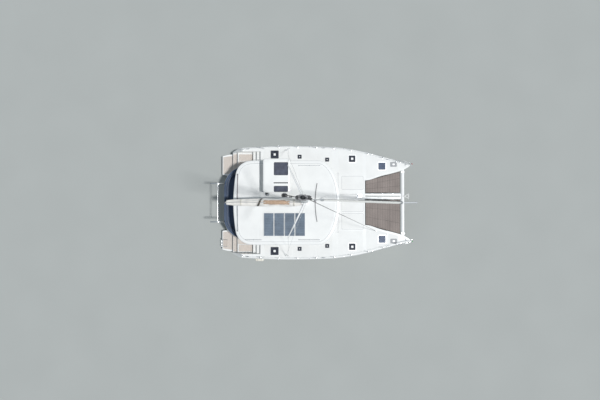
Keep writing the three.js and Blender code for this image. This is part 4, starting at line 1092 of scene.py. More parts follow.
def make_roof_gear():
    piece("roof_winches", [winch(x, y, ROOF_TOP, WINCH_SIZE) for x, y in WINCHES], STEEL)
    cap = [(0.0, 0.170), (WINCH_SIZE * 0.92, 0.170), (WINCH_SIZE * 0.88, 0.176), (0.028, 0.177),
           (0.024, 0.173), (0.0, 0.173)]
    caps = [lathe(cap, (x, y, ROOF_TOP), sides=28) for x, y in WINCHES]
    piece("winch_caps", caps, BLACK)
    plinths = [button(x, y, ROOF_TOP - 0.001, 0.15, 0.135, 0.019, sides=28) for x, y in WINCHES]
    piece("winch_plinths", plinths, GREY)
    z = ROOF_TOP
    clutches = [slab(-1.62, -1.42, y - 0.02, y + 0.02, z, z + 0.06, 0.01, 0.008) for y in LINES_Y]
    levers = [slab(-1.60, -1.47, y - 0.012, y + 0.012, z + 0.058, z + 0.072, 0.008, 0.003) for y in LINES_Y]
    piece("rope_clutches", clutches, BLACK)
    piece("clutch_levers", levers, GREY)
    rails = []
    high = z + 0.075
    for y, x0, x1 in GRAB_RAILS:
        middle = (x0 + x1) / 2
        path = curve([(x0, y, z), (x0 + 0.01, y, high - 0.03), (x0 + 0.07, y, high), (x1 - 0.07, y, high),
                      (x1 - 0.01, y, high - 0.03), (x1, y, z)], 4)
        rails += [tube(path, 0.0125, 10), rod((middle, y, z), (middle, y, high), 0.010, 8)]
        rails += [button(x, y, z, 0.032, 0.03, 0.007, 0.002) for x in (x0, middle, x1)]
    piece("roof_grab_rails", rails, STEEL)


make_roof_gear()


# Solar array: four framed panels on rails
SOLAR_AREA = (-3.22, -0.61, -2.12, -0.66)
PANELS = 4
PANEL_GAP = 0.04
PANEL_RIM = 0.012


def make_solar():
    x0, x1, y0, y1 = SOLAR_AREA
    width = (x1 - x0 - PANEL_GAP * (PANELS - 1)) / PANELS
    low, high = ROOF_TOP + 0.030, ROOF_TOP + 0.065
    rails_y = (y0 + 0.30, y1 - 0.30)
    frames, cells, feet = [], [], []
    for k in range(PANELS):
        a = x0 + k * (width + PANEL_GAP)
        b = a + width
        inner = grown(a, b, y0, y1, -PANEL_RIM)
        frames += [box(*part, low, high) for part in (
            (a, inner[0], y0, y1), (inner[1], b, y0, y1), (*inner[:2], y0, inner[2]),
            (*inner[:2], inner[3], y1))]
        cells.append(box(*inner, low + 0.005, high - 0.002))
        feet += [box(spot - 0.02, spot + 0.02, y - 0.045, y + 0.045, ROOF_TOP + 0.02, ROOF_TOP + 0.034)
                 for y in rails_y for spot in (a + 0.10, b - 0.10)]
    rails = [box(x0 + 0.01, x1 - 0.01, y - 0.02, y + 0.02, ROOF_TOP + GAP, ROOF_TOP + 0.034)
             for y in rails_y]
    piece("solar_frames", [*frames, *rails, *feet], WHITE_PAINT, stands_for=("solar_array",))
    piece("solar_cells", cells, CELLS)


make_solar()


# Hard canopy over the helm, with two roof windows and a slot between them
CANOPY = (-3.215, -1.545, 0.61, 2.71)
CANOPY_WINDOWS = ((-2.53, -1.67, 1.69, 2.47), (-2.53, -1.68, 0.66, 1.01))
CANOPY_SLOT = (-2.55, -1.66, 1.175, 1.243)
POSTS_X = (-3.145, -1.70)
POSTS_Y = (0.69, 2.52)
POST_RAIL = 3.72
POST_FOOT = ((0.0, GAP), (0.045, GAP), (0.043, 0.009), (0.020, 0.012), (0.0, 0.012))
# heights of the canopy's edge and how far each lies inside its outline
CANOPY_ROWS = ((4.020, 0.03), (4.028, 0.008), (4.045, 0.0), (4.062, 0.004), (4.078, 0.018), (4.090, 0.045),
               (4.098, 0.09), (4.100, 0.14))


def make_canopy():
    rings = [[(x, y, z) for x, y in round_rect(*grown(*CANOPY, -inset), max(0.02, 0.17 - inset), 8)]
             for z, inset in CANOPY_ROWS]
    holes = [prism(round_rect(*window, 0.05), 3.9, 4.3) for window in CANOPY_WINDOWS]
    holes.append(box(*CANOPY_SLOT, 3.9, 4.3))
    piece("canopy_top", carved(loft(rings), holes), GELCOAT, stands_for=("helm_canopy",),
          angle=30)
    panes = [slab(*grown(*window, -0.002), 4.040, 4.092, 0.048, 0.006) for window in CANOPY_WINDOWS]
    rims = [seam(round_rect(*grown(*window, 0.012), 0.06), 0.018, 4.1008) for window in CANOPY_WINDOWS]
    piece("canopy_windows", panes, CANOPY_PANE)
    piece("canopy_window_rims", rims, BLACK, clean=False)
    x0, x1, y0, y1 = CANOPY_SLOT
    slot = box(x0 + 0.002, x1 - 0.002, y0 + 0.001, y1 - 0.001, 4.05, 4.094)
    piece("canopy_slot", slot, BLACK)
    feet = [(x, y) for x in POSTS_X for y in POSTS_Y]
    posts = [rod((x, y, ROOF_TOP), (x, y, 4.03), 0.017, 14) for x, y in feet]
    posts += [lathe([(r, ROOF_TOP + z) for r, z in POST_FOOT], (x, y, 0), sides=20) for x, y in feet]
    posts += [tube([(x, y, POST_RAIL) for x in POSTS_X], 0.010, 10) for y in POSTS_Y]
    posts += [rod((POSTS_X[0], y, POST_RAIL), (-2.75, y, 4.02), 0.009, 8) for y in POSTS_Y]
    piece("canopy_posts", posts, STEEL)


make_canopy()


# Helm: wheel, console instruments, seat cushions
WHEEL = {"centre": (-2.44, 1.60, 2.93), "radius": 0.355, "tube": 0.015}
SPOKES, STITCHES = 5, 10
WHEEL_HUB = ((0.0, -0.03), (0.036, -0.028), (0.045, -0.018), (0.045, 0.04), (0.03, 0.06), (0.020, 0.062),
             (0.020, 0.225), (0.0, 0.225))
CONSOLE_AT = (-2.2285, 1.60, 3.30)
CONSOLE_LEAN = 24.2
HELM_SEAT = {"helm_seat_pad": (-3.14, -2.77, 1.11, 2.26, 2.5603, 2.66, 0.06, 0.035),
             "helm_seat_back": (-3.145, -3.055, 1.11, 2.26, 2.665, 3.06, 0.04, 0.03)}
SCREENS = ((-0.14, 0.14, -0.09, 0.09), (0.20, 0.36, -0.08, 0.08), (-0.36, -0.20, -0.08, 0.08))


def make_wheel():
    centre, radius, thick = Vector(WHEEL["centre"]), WHEEL["radius"], WHEEL["tube"]
    rim = torus(centre, (1, 0, 0), radius, thick, 56, 12)
    piece("wheel_rim", rim, BLACK, "helm_wheel", stands_for=("helm_wheel",))
    turns = [(math.sin(TAU * k / STITCHES), math.cos(TAU * k / STITCHES)) for k in range(STITCHES)]
    stitches = [torus(centre + Vector((0, radius * s, radius * c)), (0, c, -s), thick - 0.001, 0.002, 10, 4)
                for s, c in turns]
    piece("wheel_seams", stitches, GREY, "helm_wheel")
    metal = [lathe(WHEEL_HUB, centre, (1, 0, 0), 32)]
    for k in range(SPOKES):
        angle = TAU * k / SPOKES
        end = centre + Vector((0, math.sin(angle), math.cos(angle))) * radius
        metal.append(rod(centre, end, 0.009, 12, 0.007))
    piece("wheel_spokes", metal, STEEL, "helm_wheel")


def make_console():
    lean = Matrix.Translation(CONSOLE_AT) @ Matrix.Rotation(math.radians(CONSOLE_LEAN), 4, "Y")
    bezels = [box(-0.004, 0.003, *grown(*screen, 0.012)) for screen in SCREENS]
    piece("helm_bezels", turned(merged(*bezels), lean), BLACK)
    panes = [box(-0.0055, -0.003, *screen) for screen in SCREENS]
    piece("helm_screens", turned(merged(*panes), lean), ACRYLIC)
    levers = []
    for y in (1.965, 2.005):
        levers += [tube(curve([(-2.275, y, 3.17), (-2.34, y, 3.20), (-2.36, y, 3.29)], 4), 0.008, 8),
                   torus((-2.36, y, 3.295), (0, 1, 0), 0.010, 0.009, 12, 8)]
    levers.append(slab(-2.31, -2.262, 1.93, 2.04, 3.10, 3.19, 0.02, 0.006))
    piece("throttle_levers", levers, STEEL)
    for name, size in HELM_SEAT.items():
        stands_for = ("helm_seat",) if name == "helm_seat_pad" else ()
        piece(name, slab(*size), CUSHION, stands_for=stands_for)


make_wheel()
make_console()


# Cockpit cushions: seat and back pads in sections round the bench, and dark pads on top of the coaming
def cockpit_path(inset, fore, straight=5):
    """Points of the cockpit's wall line, so spaced that paths of different inset match point by point."""
    half = COCKPIT_HALF - inset
    a, b = CORNER["a"] - inset, CORNER["b"] - inset
    first = [(mix(fore, CORNER["x"], k / straight), half) for k in range(straight)]
    arc = ellipse_arc(CORNER["x"], CORNER["y"], a, b, 90, 180, 14)
    aft = [(CORNER["x"] - a, mix(CORNER["y"], -CORNER["y"], k / (2 * straight)))
           for k in range(1, 2 * straight)]
    way = first + arc + aft
    return way + [(x, -y) for x, y in reversed(first + arc)]


def pad_band(wall, depth, fore, start, end, z0, z1, edge=0.035, round_steps=3):
    """A cushion between two matching wall lines, from point start to point end, with rounded edges."""
    outer, inner = cockpit_path(wall, fore), cockpit_path(wall + depth, fore)
    corner = [(edge * (1 - math.cos(math.pi / 2 * k / round_steps)),
               edge * (1 - math.sin(math.pi / 2 * k / round_steps))) for k in range(round_steps + 1)]
    tall = z1 - z0
    # outer top, inner top, inner bottom, outer bottom
    section = [(u, tall - v) for u, v in corner]
    section += [(depth - u, tall - v) for u, v in reversed(corner)]
    section += [(depth - u, v) for u, v in corner]
    section += [(u, v) for u, v in reversed(corner)]
    rings = []
    shrinks = {start: (0.5, 0.12, 0.0), end: (0.0, 0.12, 0.5)}
    for i in range(start, end + 1):
        foot = Vector(outer[i])
        across = Vector(inner[i]) - foot
        scale = across.length / depth
        across.normalize()
        swell = 0.006 * math.sin(math.pi * (i - start) / (end - start))
        for shrink in shrinks.get(i, (0.0,)):
            ring = []
            for u, v in section:
                inward = mix(u, min(max(u, edge), depth - edge), shrink * 2)
                height = mix(v, min(max(v, edge), tall - edge), shrink * 2)
                puff = swell * math.sin(math.pi * u / depth) if v > tall / 2 else 0.0
                spot = foot + across * (inward * scale)
                ring.append((spot.x, spot.y, z0 + height + puff))
            rings.append(ring)
    return loft(rings)


# name, wall inset, depth, fore end, underside, top, edge, fill, points where the pads part
PADS = (
    ("cockpit_seat", 0.126, 0.54, -3.36, 1.7003, 1.795, 0.035, 0.9, (0, 5, 12, 19, 24, 29, 36, 43)),
    ("cockpit_back", 0.128, 0.088, -4.27, 1.80, 2.055, 0.03, 0.9, (0, 5, 12, 19, 24, 29, 36, 43)),
    ("coaming_pad", 0.012, 0.112, -4.27, 2.0802, 2.125, 0.02, 1.0, (0, 7, 14, 19, 24, 29, 34, 41)),
)


def make_pads():
    for name, wall, depth, fore, z0, z1, edge, fill, cuts in PADS:
        last = len(cockpit_path(wall, fore)) - 1
        for number, (a, b) in enumerate(zip(cuts, (*cuts[1:], last)), 1):
            first_seat = name == "cockpit_seat" and number == 1
            made = piece(f"{name}_{number}", pad_band(wall, depth, fore, a, b, z0, z1, edge), CUSHION,
                         stands_for=("cockpit_cushions",) if first_seat else (), angle=60)


make_pads()


# Boom, its fittings and the sail bag
PIN_X = mast_x(BOOM_Z) - 0.125 - 0.075
BOOM_END = -5.48
BOOM_HALF = 0.062
BOOM_TALL = 0.110
SHEET_EYES_X = (-4.95, -4.80)


def spar_section(half, tall, r, steps=5):
    return round_rect(-half, half, -tall, tall, r, steps)


def make_boom():
    x0, x1 = PIN_X - 0.06, BOOM_END
    rings = [[(x, y, BOOM_Z + z) for y, z in spar_section(BOOM_HALF - shrink, BOOM_TALL - shrink, 0.05)]
             for x, shrink in ((x1, 0.012), (x1 + 0.012, 0.0), (x0 - 0.012, 0.0), (x0, 0.012))]
    eye = slab(PIN_X - 0.08, PIN_X + 0.034, -0.03, 0.03, BOOM_Z - 0.072, BOOM_Z + 0.072, 0.02, 0.004)
    piece("boom_spar", merged(loft(rings), eye), WHITE_PAINT, "boom", stands_for=("boom",))
    fittings = [box(x1 - 0.012, x1 + 0.09, -0.056, 0.056, BOOM_Z - 0.104, BOOM_Z + 0.104)]
    z = BOOM_Z - BOOM_TALL
    for x in (*SHEET_EYES_X, -2.60):
        fittings += [slab(x - 0.05, x + 0.05, -0.034, 0.034, z - 0.012, z + 0.004, 0.02),
                     torus((x, 0, z - 0.018), (0, 1, 0), 0.018, 0.005, 16, 8)]
    fittings += [sheave(x1, y, BOOM_Z + 0.06, 0.04, 0.032, 0.006) for y in (-0.018, 0.018)]
    piece("boom_fittings", fittings, BLACK, "boom")
    faces = [sign * (BOOM_HALF + 0.0005) for sign in (-1, 1)]
    groove = [box(x1 + 0.1, x0 - 0.2, y - 0.001, y + 0.001, BOOM_Z - 0.006, BOOM_Z + 0.006) for y in faces]
    piece("boom_grooves", groove, GREY, "boom")


BAG_FORE, BAG_AFT = PIN_X - 0.12, -5.38
# half widths and heights of the filled bag along the boom
BAG_WIDE = ((-5.38, 0.135), (-4.9, 0.19), (-4.2, 0.225), (-3.0, 0.250), (-2.3, 0.225), (-1.5, 0.26),
            (-0.8, 0.18))
BAG_TALL = ((BAG_AFT, 0.30), (-4.4, 0.48), (-3.0, 0.60), (-1.5, 0.70), (BAG_FORE, 0.62))
BAG_BASE = BOOM_Z + BOOM_TALL + GAP
OPEN = (-2.98, -1.62)
# place across the bag, rise and radius of each fold
FOLDS = ((-0.10, 0.0, 0.075), (-0.035, 0.045, 0.085), (0.045, 0.03, 0.080), (0.11, -0.015, 0.065))


def bag_size(x):
    """Half width and height of the filled bag at x."""
    return tuple(float(np.interp(x, *zip(*rows))) for rows in (BAG_WIDE, BAG_TALL))


def wave(x, seed):
    return (math.sin(3.1 * x + seed) + 0.6 * math.sin(7.3 * x + 2.1 * seed)
            + 0.35 * math.sin(15.7 * x + 0.7 * seed)) / 1.95


def bag_openness(x):
    """How far the zip stands open at x, 0 to 1."""
    a, b = OPEN
    return max(0.0, min(1.0, (x - a) / 0.22, (b - x) / 0.22))


def bag_profile(half, t):
    """Half width of the bag at a share t of its height, before the zip draws it in."""
    belly = math.sin(math.pi * min(1.0, t * 1.08) ** 0.75)
    return 0.34 * half + 0.70 * half * belly - 0.24 * half * t ** 3


def bag_wall(side, steps=120, up=15):
    """One canvas wall of the bag from the boom up to the zip, slack between its battens."""
    rows = []
    for i in range(steps + 1):
        x = mix(BAG_FORE - 0.02, BAG_AFT + 0.03, i / steps)
        half, tall = bag_size(x)
        gape = bag_openness(x)
        row = []
        for k in range(up + 1):
            t = k / up
            y = bag_profile(half, t)
            y = mix(y, max(y, 0.62 * half), gape * max(0.0, t - 0.45) / 0.55)
            y = mix(y, mix(0.008, 0.55 * half, gape), max(0.0, (t - 0.8) / 0.2))
            slack = 0.020 * wave(x * 1.3 + 0.8 * t, 1.3 if side > 0 else 4.1) * math.sin(math.pi * t)
            crease = 0.006 * math.sin(23 * x + 9 * t * side) * math.sin(math.pi * t)
            crease *= 0.5 + 0.5 * wave(x, 2.2)
            z = BAG_BASE + tall * (0.99 * t) - 0.03 * t * (1 + wave(x * 2.0, 0.4))
            z -= 0.10 * gape * t * t
            row.append((x, side * min(half * 0.97, y + slack + crease), max(z, BAG_BASE + 0.002)))
        rows.append(row)
    points = [p for row in rows for p in row]
    return points, grid_faces(steps + 1, up + 1, side < 0)


def bag_ends():
    """Canvas ends that close the bag at the mast and at the boom's end."""
    shapes = []
    for x, lean in ((BAG_FORE - 0.02, 0.02), (BAG_AFT + 0.03, -0.02)):
        half, tall = bag_size(x)
        outline = []
        for k in range(16):
            t = k / 15
            y = mix(bag_profile(half, t), 0.008, max(0.0, (t - 0.8) / 0.2))
            outline.append((min(half * 0.97, y), BAG_BASE + tall * 0.95 * t))
        ring = outline + [(-y, z) for y, z in reversed(outline)]
        shapes.append(loft([[(x - lean * 0.2, y, z) for y, z in ring],
                            [(x + lean * 0.3, y * 0.97, z) for y, z in ring]]))
    return merged(*shapes)


def folded_sail(steps=60):
    """Folds of the mainsail that lie in the bag, seen through the open zip."""
    shapes = []
    for n, (offset, rise, size) in enumerate(FOLDS):
        path, radii = [], []
        for i in range(steps + 1):
            x = mix(OPEN[0] - 0.45, OPEN[1] + 0.40, i / steps)
            half, tall = bag_size(x)
            edge = min(1.0, min(i, steps - i) / 10)
            y = offset * half / 0.26 * (0.72 + 0.1 * wave(x, n + 1.0)) + 0.012 * wave(2 * x, n + 0.5)
            z = BAG_BASE + tall * 0.70 + rise + 0.02 * wave(1.7 * x, 2.0 * n) - 0.12 * (1 - edge)
            path.append((x, y, z))
            radii.append(size * (0.8 + 0.15 * wave(2.3 * x, 3.0 * n + 1)) * (0.55 + 0.45 * edge))
        shapes.append(tube(path, radii, 12))
    return merged(*shapes)


def bag_zip():
    """Zip tape along the closed parts."""
    tapes = []
    for x0, x1 in ((-5.30, OPEN[0] - 0.02), (OPEN[1] + 0.02, PIN_X - 0.20)):
        path = []
        for k in range(31):
            x = mix(x0, x1, k / 30)
            _, tall = bag_size(x)
            path.append((x, 0.0, BAG_BASE + tall * 0.99 - 0.03 * (1 + wave(x * 2.0, 0.4)) + 0.002))
        tapes.append(tube(path, 0.009, 6))
    return tapes


def bag_band(x, width, lean):
    """A band over the top of the bag, slanting by lean."""
    rings = []
    for k in range(33):
        t = k / 32
        angle = math.radians(mix(-200, 20, t))
        spot = x + lean * (t - 0.5)
        half, tall = bag_size(spot)
        y = half * 0.99 * math.cos(angle) * 0.98
        z = min(BAG_BASE + tall * 0.47 - tall * 0.50 * math.sin(angle), BAG_BASE + tall * 0.985)
        low, high = spot - width / 2, spot + width / 2
        rings.append([(low, y, z), (high, y, z), (high, y * 0.985, z - 0.004), (low, y * 0.985, z - 0.004)])
    return loft(rings)


def make_bag():
    for side, name in ((1, "port"), (-1, "starboard")):
        wall = piece(f"sail_bag_{name}_wall", bag_wall(side), CANVAS, "boom",
                     stands_for=("sail_bag",) if side > 0 else (), angle=70, clean=False)
        thickened(wall, "cloth")
    piece("sail_bag_ends", bag_ends(), CANVAS, "boom")
    piece("folded_mainsail", folded_sail(), SAIL_TAN, "boom", angle=80)
    piece("bag_zip", bag_zip(), GREY, "boom")
    ties = [bag_band(x, 0.05, 0.0) for x in (-1.28, -4.45)]
    for name, bands, cloth in (("bag_strap", [bag_band(-3.33, 0.11, 0.36)], STRAP),
                               ("bag_ties", ties, CREAM)):
        piece(name, bands, cloth, "boom", angle=60)


make_boom()
make_bag()


# Mast and its fittings: it narrows above MAST_TAPER, and its halyards leave it at HALYARD_TOP
MAST_TAPER = 15.0
MAST_FORE = 0.125
STAY_Z = 17.6
HALYARD_TOP = 20.2
MAST_SIDES = 40
# height and half length of the section
MAST_ROWS = ((ROOF_TOP + GAP, MAST_FORE), (9.0, MAST_FORE), (MAST_TAPER, MAST_FORE),
             (MAST_TOP - 0.01, 0.095), (MAST_TOP, 0.085))
# place along and across the masthead, height, radius at the foot and at the tip
AERIALS = ((-0.06, 0.025, 0.56, 0.004, 0.002), (0.06, -0.02, 0.33, 0.006, 0.004))


def mast_half_width(z):
    return mix(0.072, 0.060, max(0.0, z - MAST_TAPER) / (MAST_TOP - MAST_TAPER))


def make_mast():
    """Section with its sail groove aft, foot plate, gooseneck and masthead aerials."""
    rings = []
    for z, a in MAST_ROWS:
        b = mast_half_width(z)
        ring = []
        for k in range(MAST_SIDES):
            angle = TAU * k / MAST_SIDES
            x, y = a * math.cos(angle), b * math.sin(angle)
            beside = abs(k - MAST_SIDES // 2)
            if beside <= 1:
                x += 0.006 * (2 - beside)
            ring.append((mast_x(z) + x, y, z))
        rings.append(ring)
    x = mast_x(ROOF_TOP)
    plate = slab(x - 0.19, x + 0.19, -0.15, 0.15, ROOF_TOP + GAP, ROOF_TOP + 0.03, 0.06, 0.006)
    x = mast_x(BOOM_Z) - MAST_FORE
    knuckles = [slab(PIN_X - 0.034, x + 0.03, -0.04, 0.04, BOOM_Z + z, BOOM_Z + z + 0.015, 0.03, 0.003)
                for z in (-0.095, 0.080)]
    pin = [rod((PIN_X, 0, BOOM_Z - 0.10), (PIN_X, 0, BOOM_Z + 0.10), 0.014, 20),
           button(PIN_X, 0, BOOM_Z + 0.098, 0.024, 0.024, 0.008, 0.003, 20)]
    x = mast_x(STAY_Z)
    tang = box(x + 0.06, x + 0.157, -0.02, 0.02, STAY_Z + 0.0058, STAY_Z + 0.0358)
    x = mast_x(MAST_TOP)
    aerials = [rod((x + aft, y, MAST_TOP - 0.02), (x + aft, y, MAST_TOP + tall), foot, 8, tip)
               for aft, y, tall, foot, tip in AERIALS]
    piece("mast_section", merged(loft(rings), plate), WHITE_PAINT, stands_for=("mast",), angle=40)
    piece("gooseneck", [*knuckles, *pin, tang], STEEL)
    piece("masthead_aerials", aerials, BLACK)


# Gear on the mast: turning blocks at its foot, track, lamps
FOOT_X = mast_x(ROOF_TOP) - 0.24
FOOT_Y = (-0.20, -0.15, 0.15, 0.20, 0.25)
# distance across the mast and aft of it
HALYARDS = ((0.045, 0.11), (-0.045, 0.11), (0.02, 0.125))
SAIL_TRACK_Z = (4.75, 20.15)
SAIL_CARS = 7
STEAMING_Z = 8.0
MAST_LAMP = ((0.0, 0.0), (0.045, 0.0), (0.045, 0.02), (0.036, 0.025), (0.036, 0.075), (0.02, 0.09),
             (0.0, 0.09))
WIND_CUPS = ((0.0, -0.02), (0.022, -0.02), (0.03, 0.0), (0.022, 0.02), (0.0, 0.02))


def make_mast_track():
    track = tube([(mast_x(z) - 0.122, 0, z) for z in SAIL_TRACK_Z], 0.012, 8)
    cars = [slab(mast_x(z) - 0.150, mast_x(z) - 0.118, -0.018, 0.018, z - 0.03, z + 0.03, 0.008)
            for z in (4.8 + 0.10 * k for k in range(SAIL_CARS))]
    piece("mast_track", [track, *cars], BLACK)


def make_masthead():
    """Crane with its sheaves, lamp, vane and wind sensor; the steaming light lower down."""
    x, z = mast_x(MAST_TOP), MAST_TOP
    crane = [slab(x - 0.10, x + 0.10, -0.065, 0.065, z, z + 0.012, 0.05, 0.003),
             slab(x - 0.14, x + 0.17, -0.050, 0.050, z - 0.060, z - 0.012, 0.03, 0.008)]
    gear = [sheave(end, 0, z - 0.055, 0.055, 0.045, 0.03) for end in (x - 0.10, x + 0.135)]
    gear.append(lathe(MAST_LAMP, (x + 0.01, 0.0, z + 0.012), sides=20))
    gear += [rod((x + 0.06, -0.02, z + 0.30), (x + 0.20, -0.02, z + 0.30), 0.005, 6),
             rod((x - 0.08, 0.0, z + 0.02), (x - 0.32, 0.045, z + 0.05), 0.009, 10),
             slab(x - 0.44, x - 0.31, 0.008, 0.082, z + 0.03, z + 0.065, 0.03, 0.008),
             button(x - 0.355, 0.045, z + 0.065, 0.036, 0.036, 0.03, 0.01, 20),
             lathe(WIND_CUPS, (x + 0.16, -0.03, z + 0.29), sides=16)]
    piece("masthead_crane", crane, DARK_METAL)
    piece("masthead_gear", gear, BLACK)
    x, z = mast_x(STEAMING_Z), STEAMING_Z
    light = slab(x + 0.115, x + 0.165, -0.035, 0.035, z - 0.04, z + 0.04, 0.015, 0.006)
    piece("steaming_light", light, BLACK)


def make_mast_foot():
    """Collar and turning blocks on the roof, and the halyards that run up from them."""
    collar = button(mast_x(ROOF_TOP), 0, ROOF_TOP + 0.028, 0.16, 0.155, 0.022, 0.01, 32)
    piece("mast_collar", collar, WHITE_PAINT)
    blocks = []
    for y in FOOT_Y:
        blocks += [sheave(FOOT_X, y, ROOF_TOP + 0.045, 0.035, 0.028, 0.014, 18, (0, 1, 0.2)),
                   box(FOOT_X - 0.03, FOOT_X + 0.03, y - 0.018, y + 0.018, ROOF_TOP, ROOF_TOP + 0.03)]
    piece("mast_foot_blocks", blocks, BLACK)
    halyards = [tube([(FOOT_X, math.copysign(0.15, y), ROOF_TOP + 0.07),
                      (mast_x(5.0) - aft * 0.5, y * 1.9, 5.0),
                      (mast_x(HALYARD_TOP) - aft * 0.3, y * 1.5, HALYARD_TOP)], 0.006, 6)
                for y, aft in HALYARDS]
    piece("halyards", halyards, ROPE_WHITE)


def make_roof_lines():
    """Control lines from the mast foot back to the clutches and winches."""
    lines = {"white": [], "red": [], "blue": []}
    for y, foot_y, colour in zip(LINES_Y, FOOT_Y, ("white", "red", "blue", "white", "white")):
        foot = (FOOT_X, foot_y, ROOF_TOP + 0.012)
        lines[colour].append(tube(curve([foot, (-1.1, mix(foot[1], y, 0.6), ROOF_TOP + 0.010),
                                         (-1.40, y, ROOF_TOP + 0.03), (-1.64, y, ROOF_TOP + 0.03),
                                         (-1.80, mix(y, 0.48, 0.5), ROOF_TOP + 0.06)], 6), 0.0055, 8))
    for name, made in (("white", ROPE_WHITE), ("red", ROPE_RED), ("blue", ROPE_BLUE)):
        piece(f"roof_lines_{name}", lines[name], made)


make_mast()
make_mast_track()
make_masthead()
make_mast_foot()
make_roof_lines()


# Standing rigging ends, halyard led to the starboard foredeck, topping lift
def turnbuckle(low, high):
    low, high = Vector(low), Vector(high)
    way = (high - low).normalized()
    return merged(rod(low, low + way * 0.30, 0.011, 10), rod(low + way * 0.05, low + way * 0.24, 0.019, 12),
                  torus(low, (0, 1, 0), 0.018, 0.007, 16, 8))


CHAIN = (CHAINPLATE_X, 3.56, deck_z(CHAINPLATE_X) + 0.001)
SPREADER_TIP = (mast_x(10.75) - 0.78, 1.60, 10.90)
SHROUD_TOP = (mast_x(10.6), 0.08, 10.6)
DECK_EYE = (4.14, -1.89)


def make_shroud_ends(side, own):
    foot, tip = Vector(CHAIN), SPREADER_TIP
    shapes = [turnbuckle(foot + Vector((0, 0, 0.10)), tip),
              turnbuckle(foot + Vector((-0.16, 0, 0.10)), SHROUD_TOP)]
    piece(f"turnbuckles_{side}", own(*shapes), STEEL)
    boot = lathe([(0.0, -0.04), (0.02, -0.03), (0.030, 0.0), (0.02, 0.03), (0.0, 0.04)],
                 (tip[0], tip[1] + 0.02, tip[2]), (0, 0.15, 1), 16)
    piece(f"spreader_boot_{side}", own(boot), WHITE_PAINT)


def make_rigging():
    on_both_sides(make_shroud_ends)
    x, y = DECK_EYE
    z, top_x = deck_z(x), mast_x(HALYARD_TOP)
    spare = tube([(top_x + 0.12, -0.03, HALYARD_TOP), (x, y, z + 0.06)], 0.009, 8)
    piece("spare_halyard", spare, ROPE_GREY)
    eye = [torus((x, y, z + 0.03), (1, 0.4, 0), 0.026, 0.006, 18, 8),
           button(x, y, z, 0.034, 0.032, 0.008, 0.002)]
    piece("deck_eye", eye, STEEL)
    low_x, high_x = BOOM_END + 0.03, top_x - 0.14
    lift = tube([(low_x, 0, BOOM_Z + BOOM_TALL + 0.01), (high_x, 0, HALYARD_TOP + 0.08)], 0.006, 6)
    made = piece("topping_lift", lift, ROPE_WHITE, None)
    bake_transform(made)


make_rigging()


# Mainsheet between the boom and the car on its track
def make_mainsheet():
    low, high = ROOF_TOP + 0.10, BOOM_Z - BOOM_TALL - 0.03
    falls = [tube([(-4.93, y, low), (-4.95 + dx, y * 0.6, high)], 0.0055, 8)
             for y, dx in ((-0.045, 0.0), (0.045, 0.0), (-0.02, 0.15), (0.02, 0.15))]
    made = piece("mainsheet", falls, ROPE_WHITE, None)
    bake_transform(made)
    wheels = [sheave(-4.92, y, ROOF_TOP + 0.095, 0.036, 0.030, 0.012, 18) for y in (-0.045, 0.0, 0.045)]
    piece("mainsheet_car_blocks", wheels, BLACK)
    wheels = [sheave(x, y, high - 0.015, 0.034, 0.028, 0.012, 18) for x in SHEET_EYES_X
              for y in (-0.02, 0.02)]
    piece("mainsheet_boom_blocks", wheels, BLACK, "boom")
    ends = [slab(-4.93, -4.87, y - 0.03, y + 0.03, ROOF_TOP, ROOF_TOP + 0.052, 0.01, 0.004)
            for y in (-1.79, 1.79)]
    piece("track_stops", ends, BLACK)
    control = tube([(-4.9, y, ROOF_TOP + 0.046) for y in (0.06, 1.78)], 0.006, 6)
    piece("track_line", control, ROPE_RED)


make_mainsheet()


# Furled headsail: a tight roll on the stay, lapped spirally, with a dark band along its port side that is
# both its guard strip and painted shade on that side
STAY_FOOT = Vector((5.86, 0, BEAM["z1"] + 0.04))
STAY_TOP = Vector((mast_x(STAY_Z) + MAST_FORE + 0.008, 0, STAY_Z))
# radius of the roll at distances along the stay
ROLL_AT = (0.5, 1.2, 7.6, 15.7)
ROLL_RADII = (0.040, 0.085, 0.068, 0.030)
ROLL_SIDES, ROLL_STEPS = 26, 260
SWIVEL = ((0.0, 15.72), (0.035, 15.72), (0.042, 15.76), (0.042, 15.86), (0.03, 15.90), (0.0, 15.90))
HEADSAIL_SHEET = ((4.9, 0.22, 2.55), (3.3, 0.50, 2.35), (1.9, 0.50, 2.85), (0.8, 0.42, 3.33),
                  (0.14, 0.12, 3.375))


def on_stay(distance):
    return STAY_FOOT + (STAY_TOP - STAY_FOOT).normalized() * distance


def mark_guard_and_shade(mesh):
    """Faces in a band on the port side, with an uneven edge, take the dark cloth that stands for both the
    guard strip and the painted shade on that side.
    """
    mesh.materials.append(GUARD_AND_SHADE)
    for polygon in mesh.polygons:
        if len(polygon.vertices) != 4:
            continue
        angle = 360 * (polygon.vertices[0] % ROLL_SIDES + 0.5) / ROLL_SIDES
        edge = 4 * math.sin(polygon.index // ROLL_SIDES / ROLL_STEPS * 40)
        if angle > 320 + edge or angle < 52 + edge:
            polygon.material_index = 1
    mesh.shade_smooth()
    mesh.set_sharp_from_angle(angle=math.radians(50))


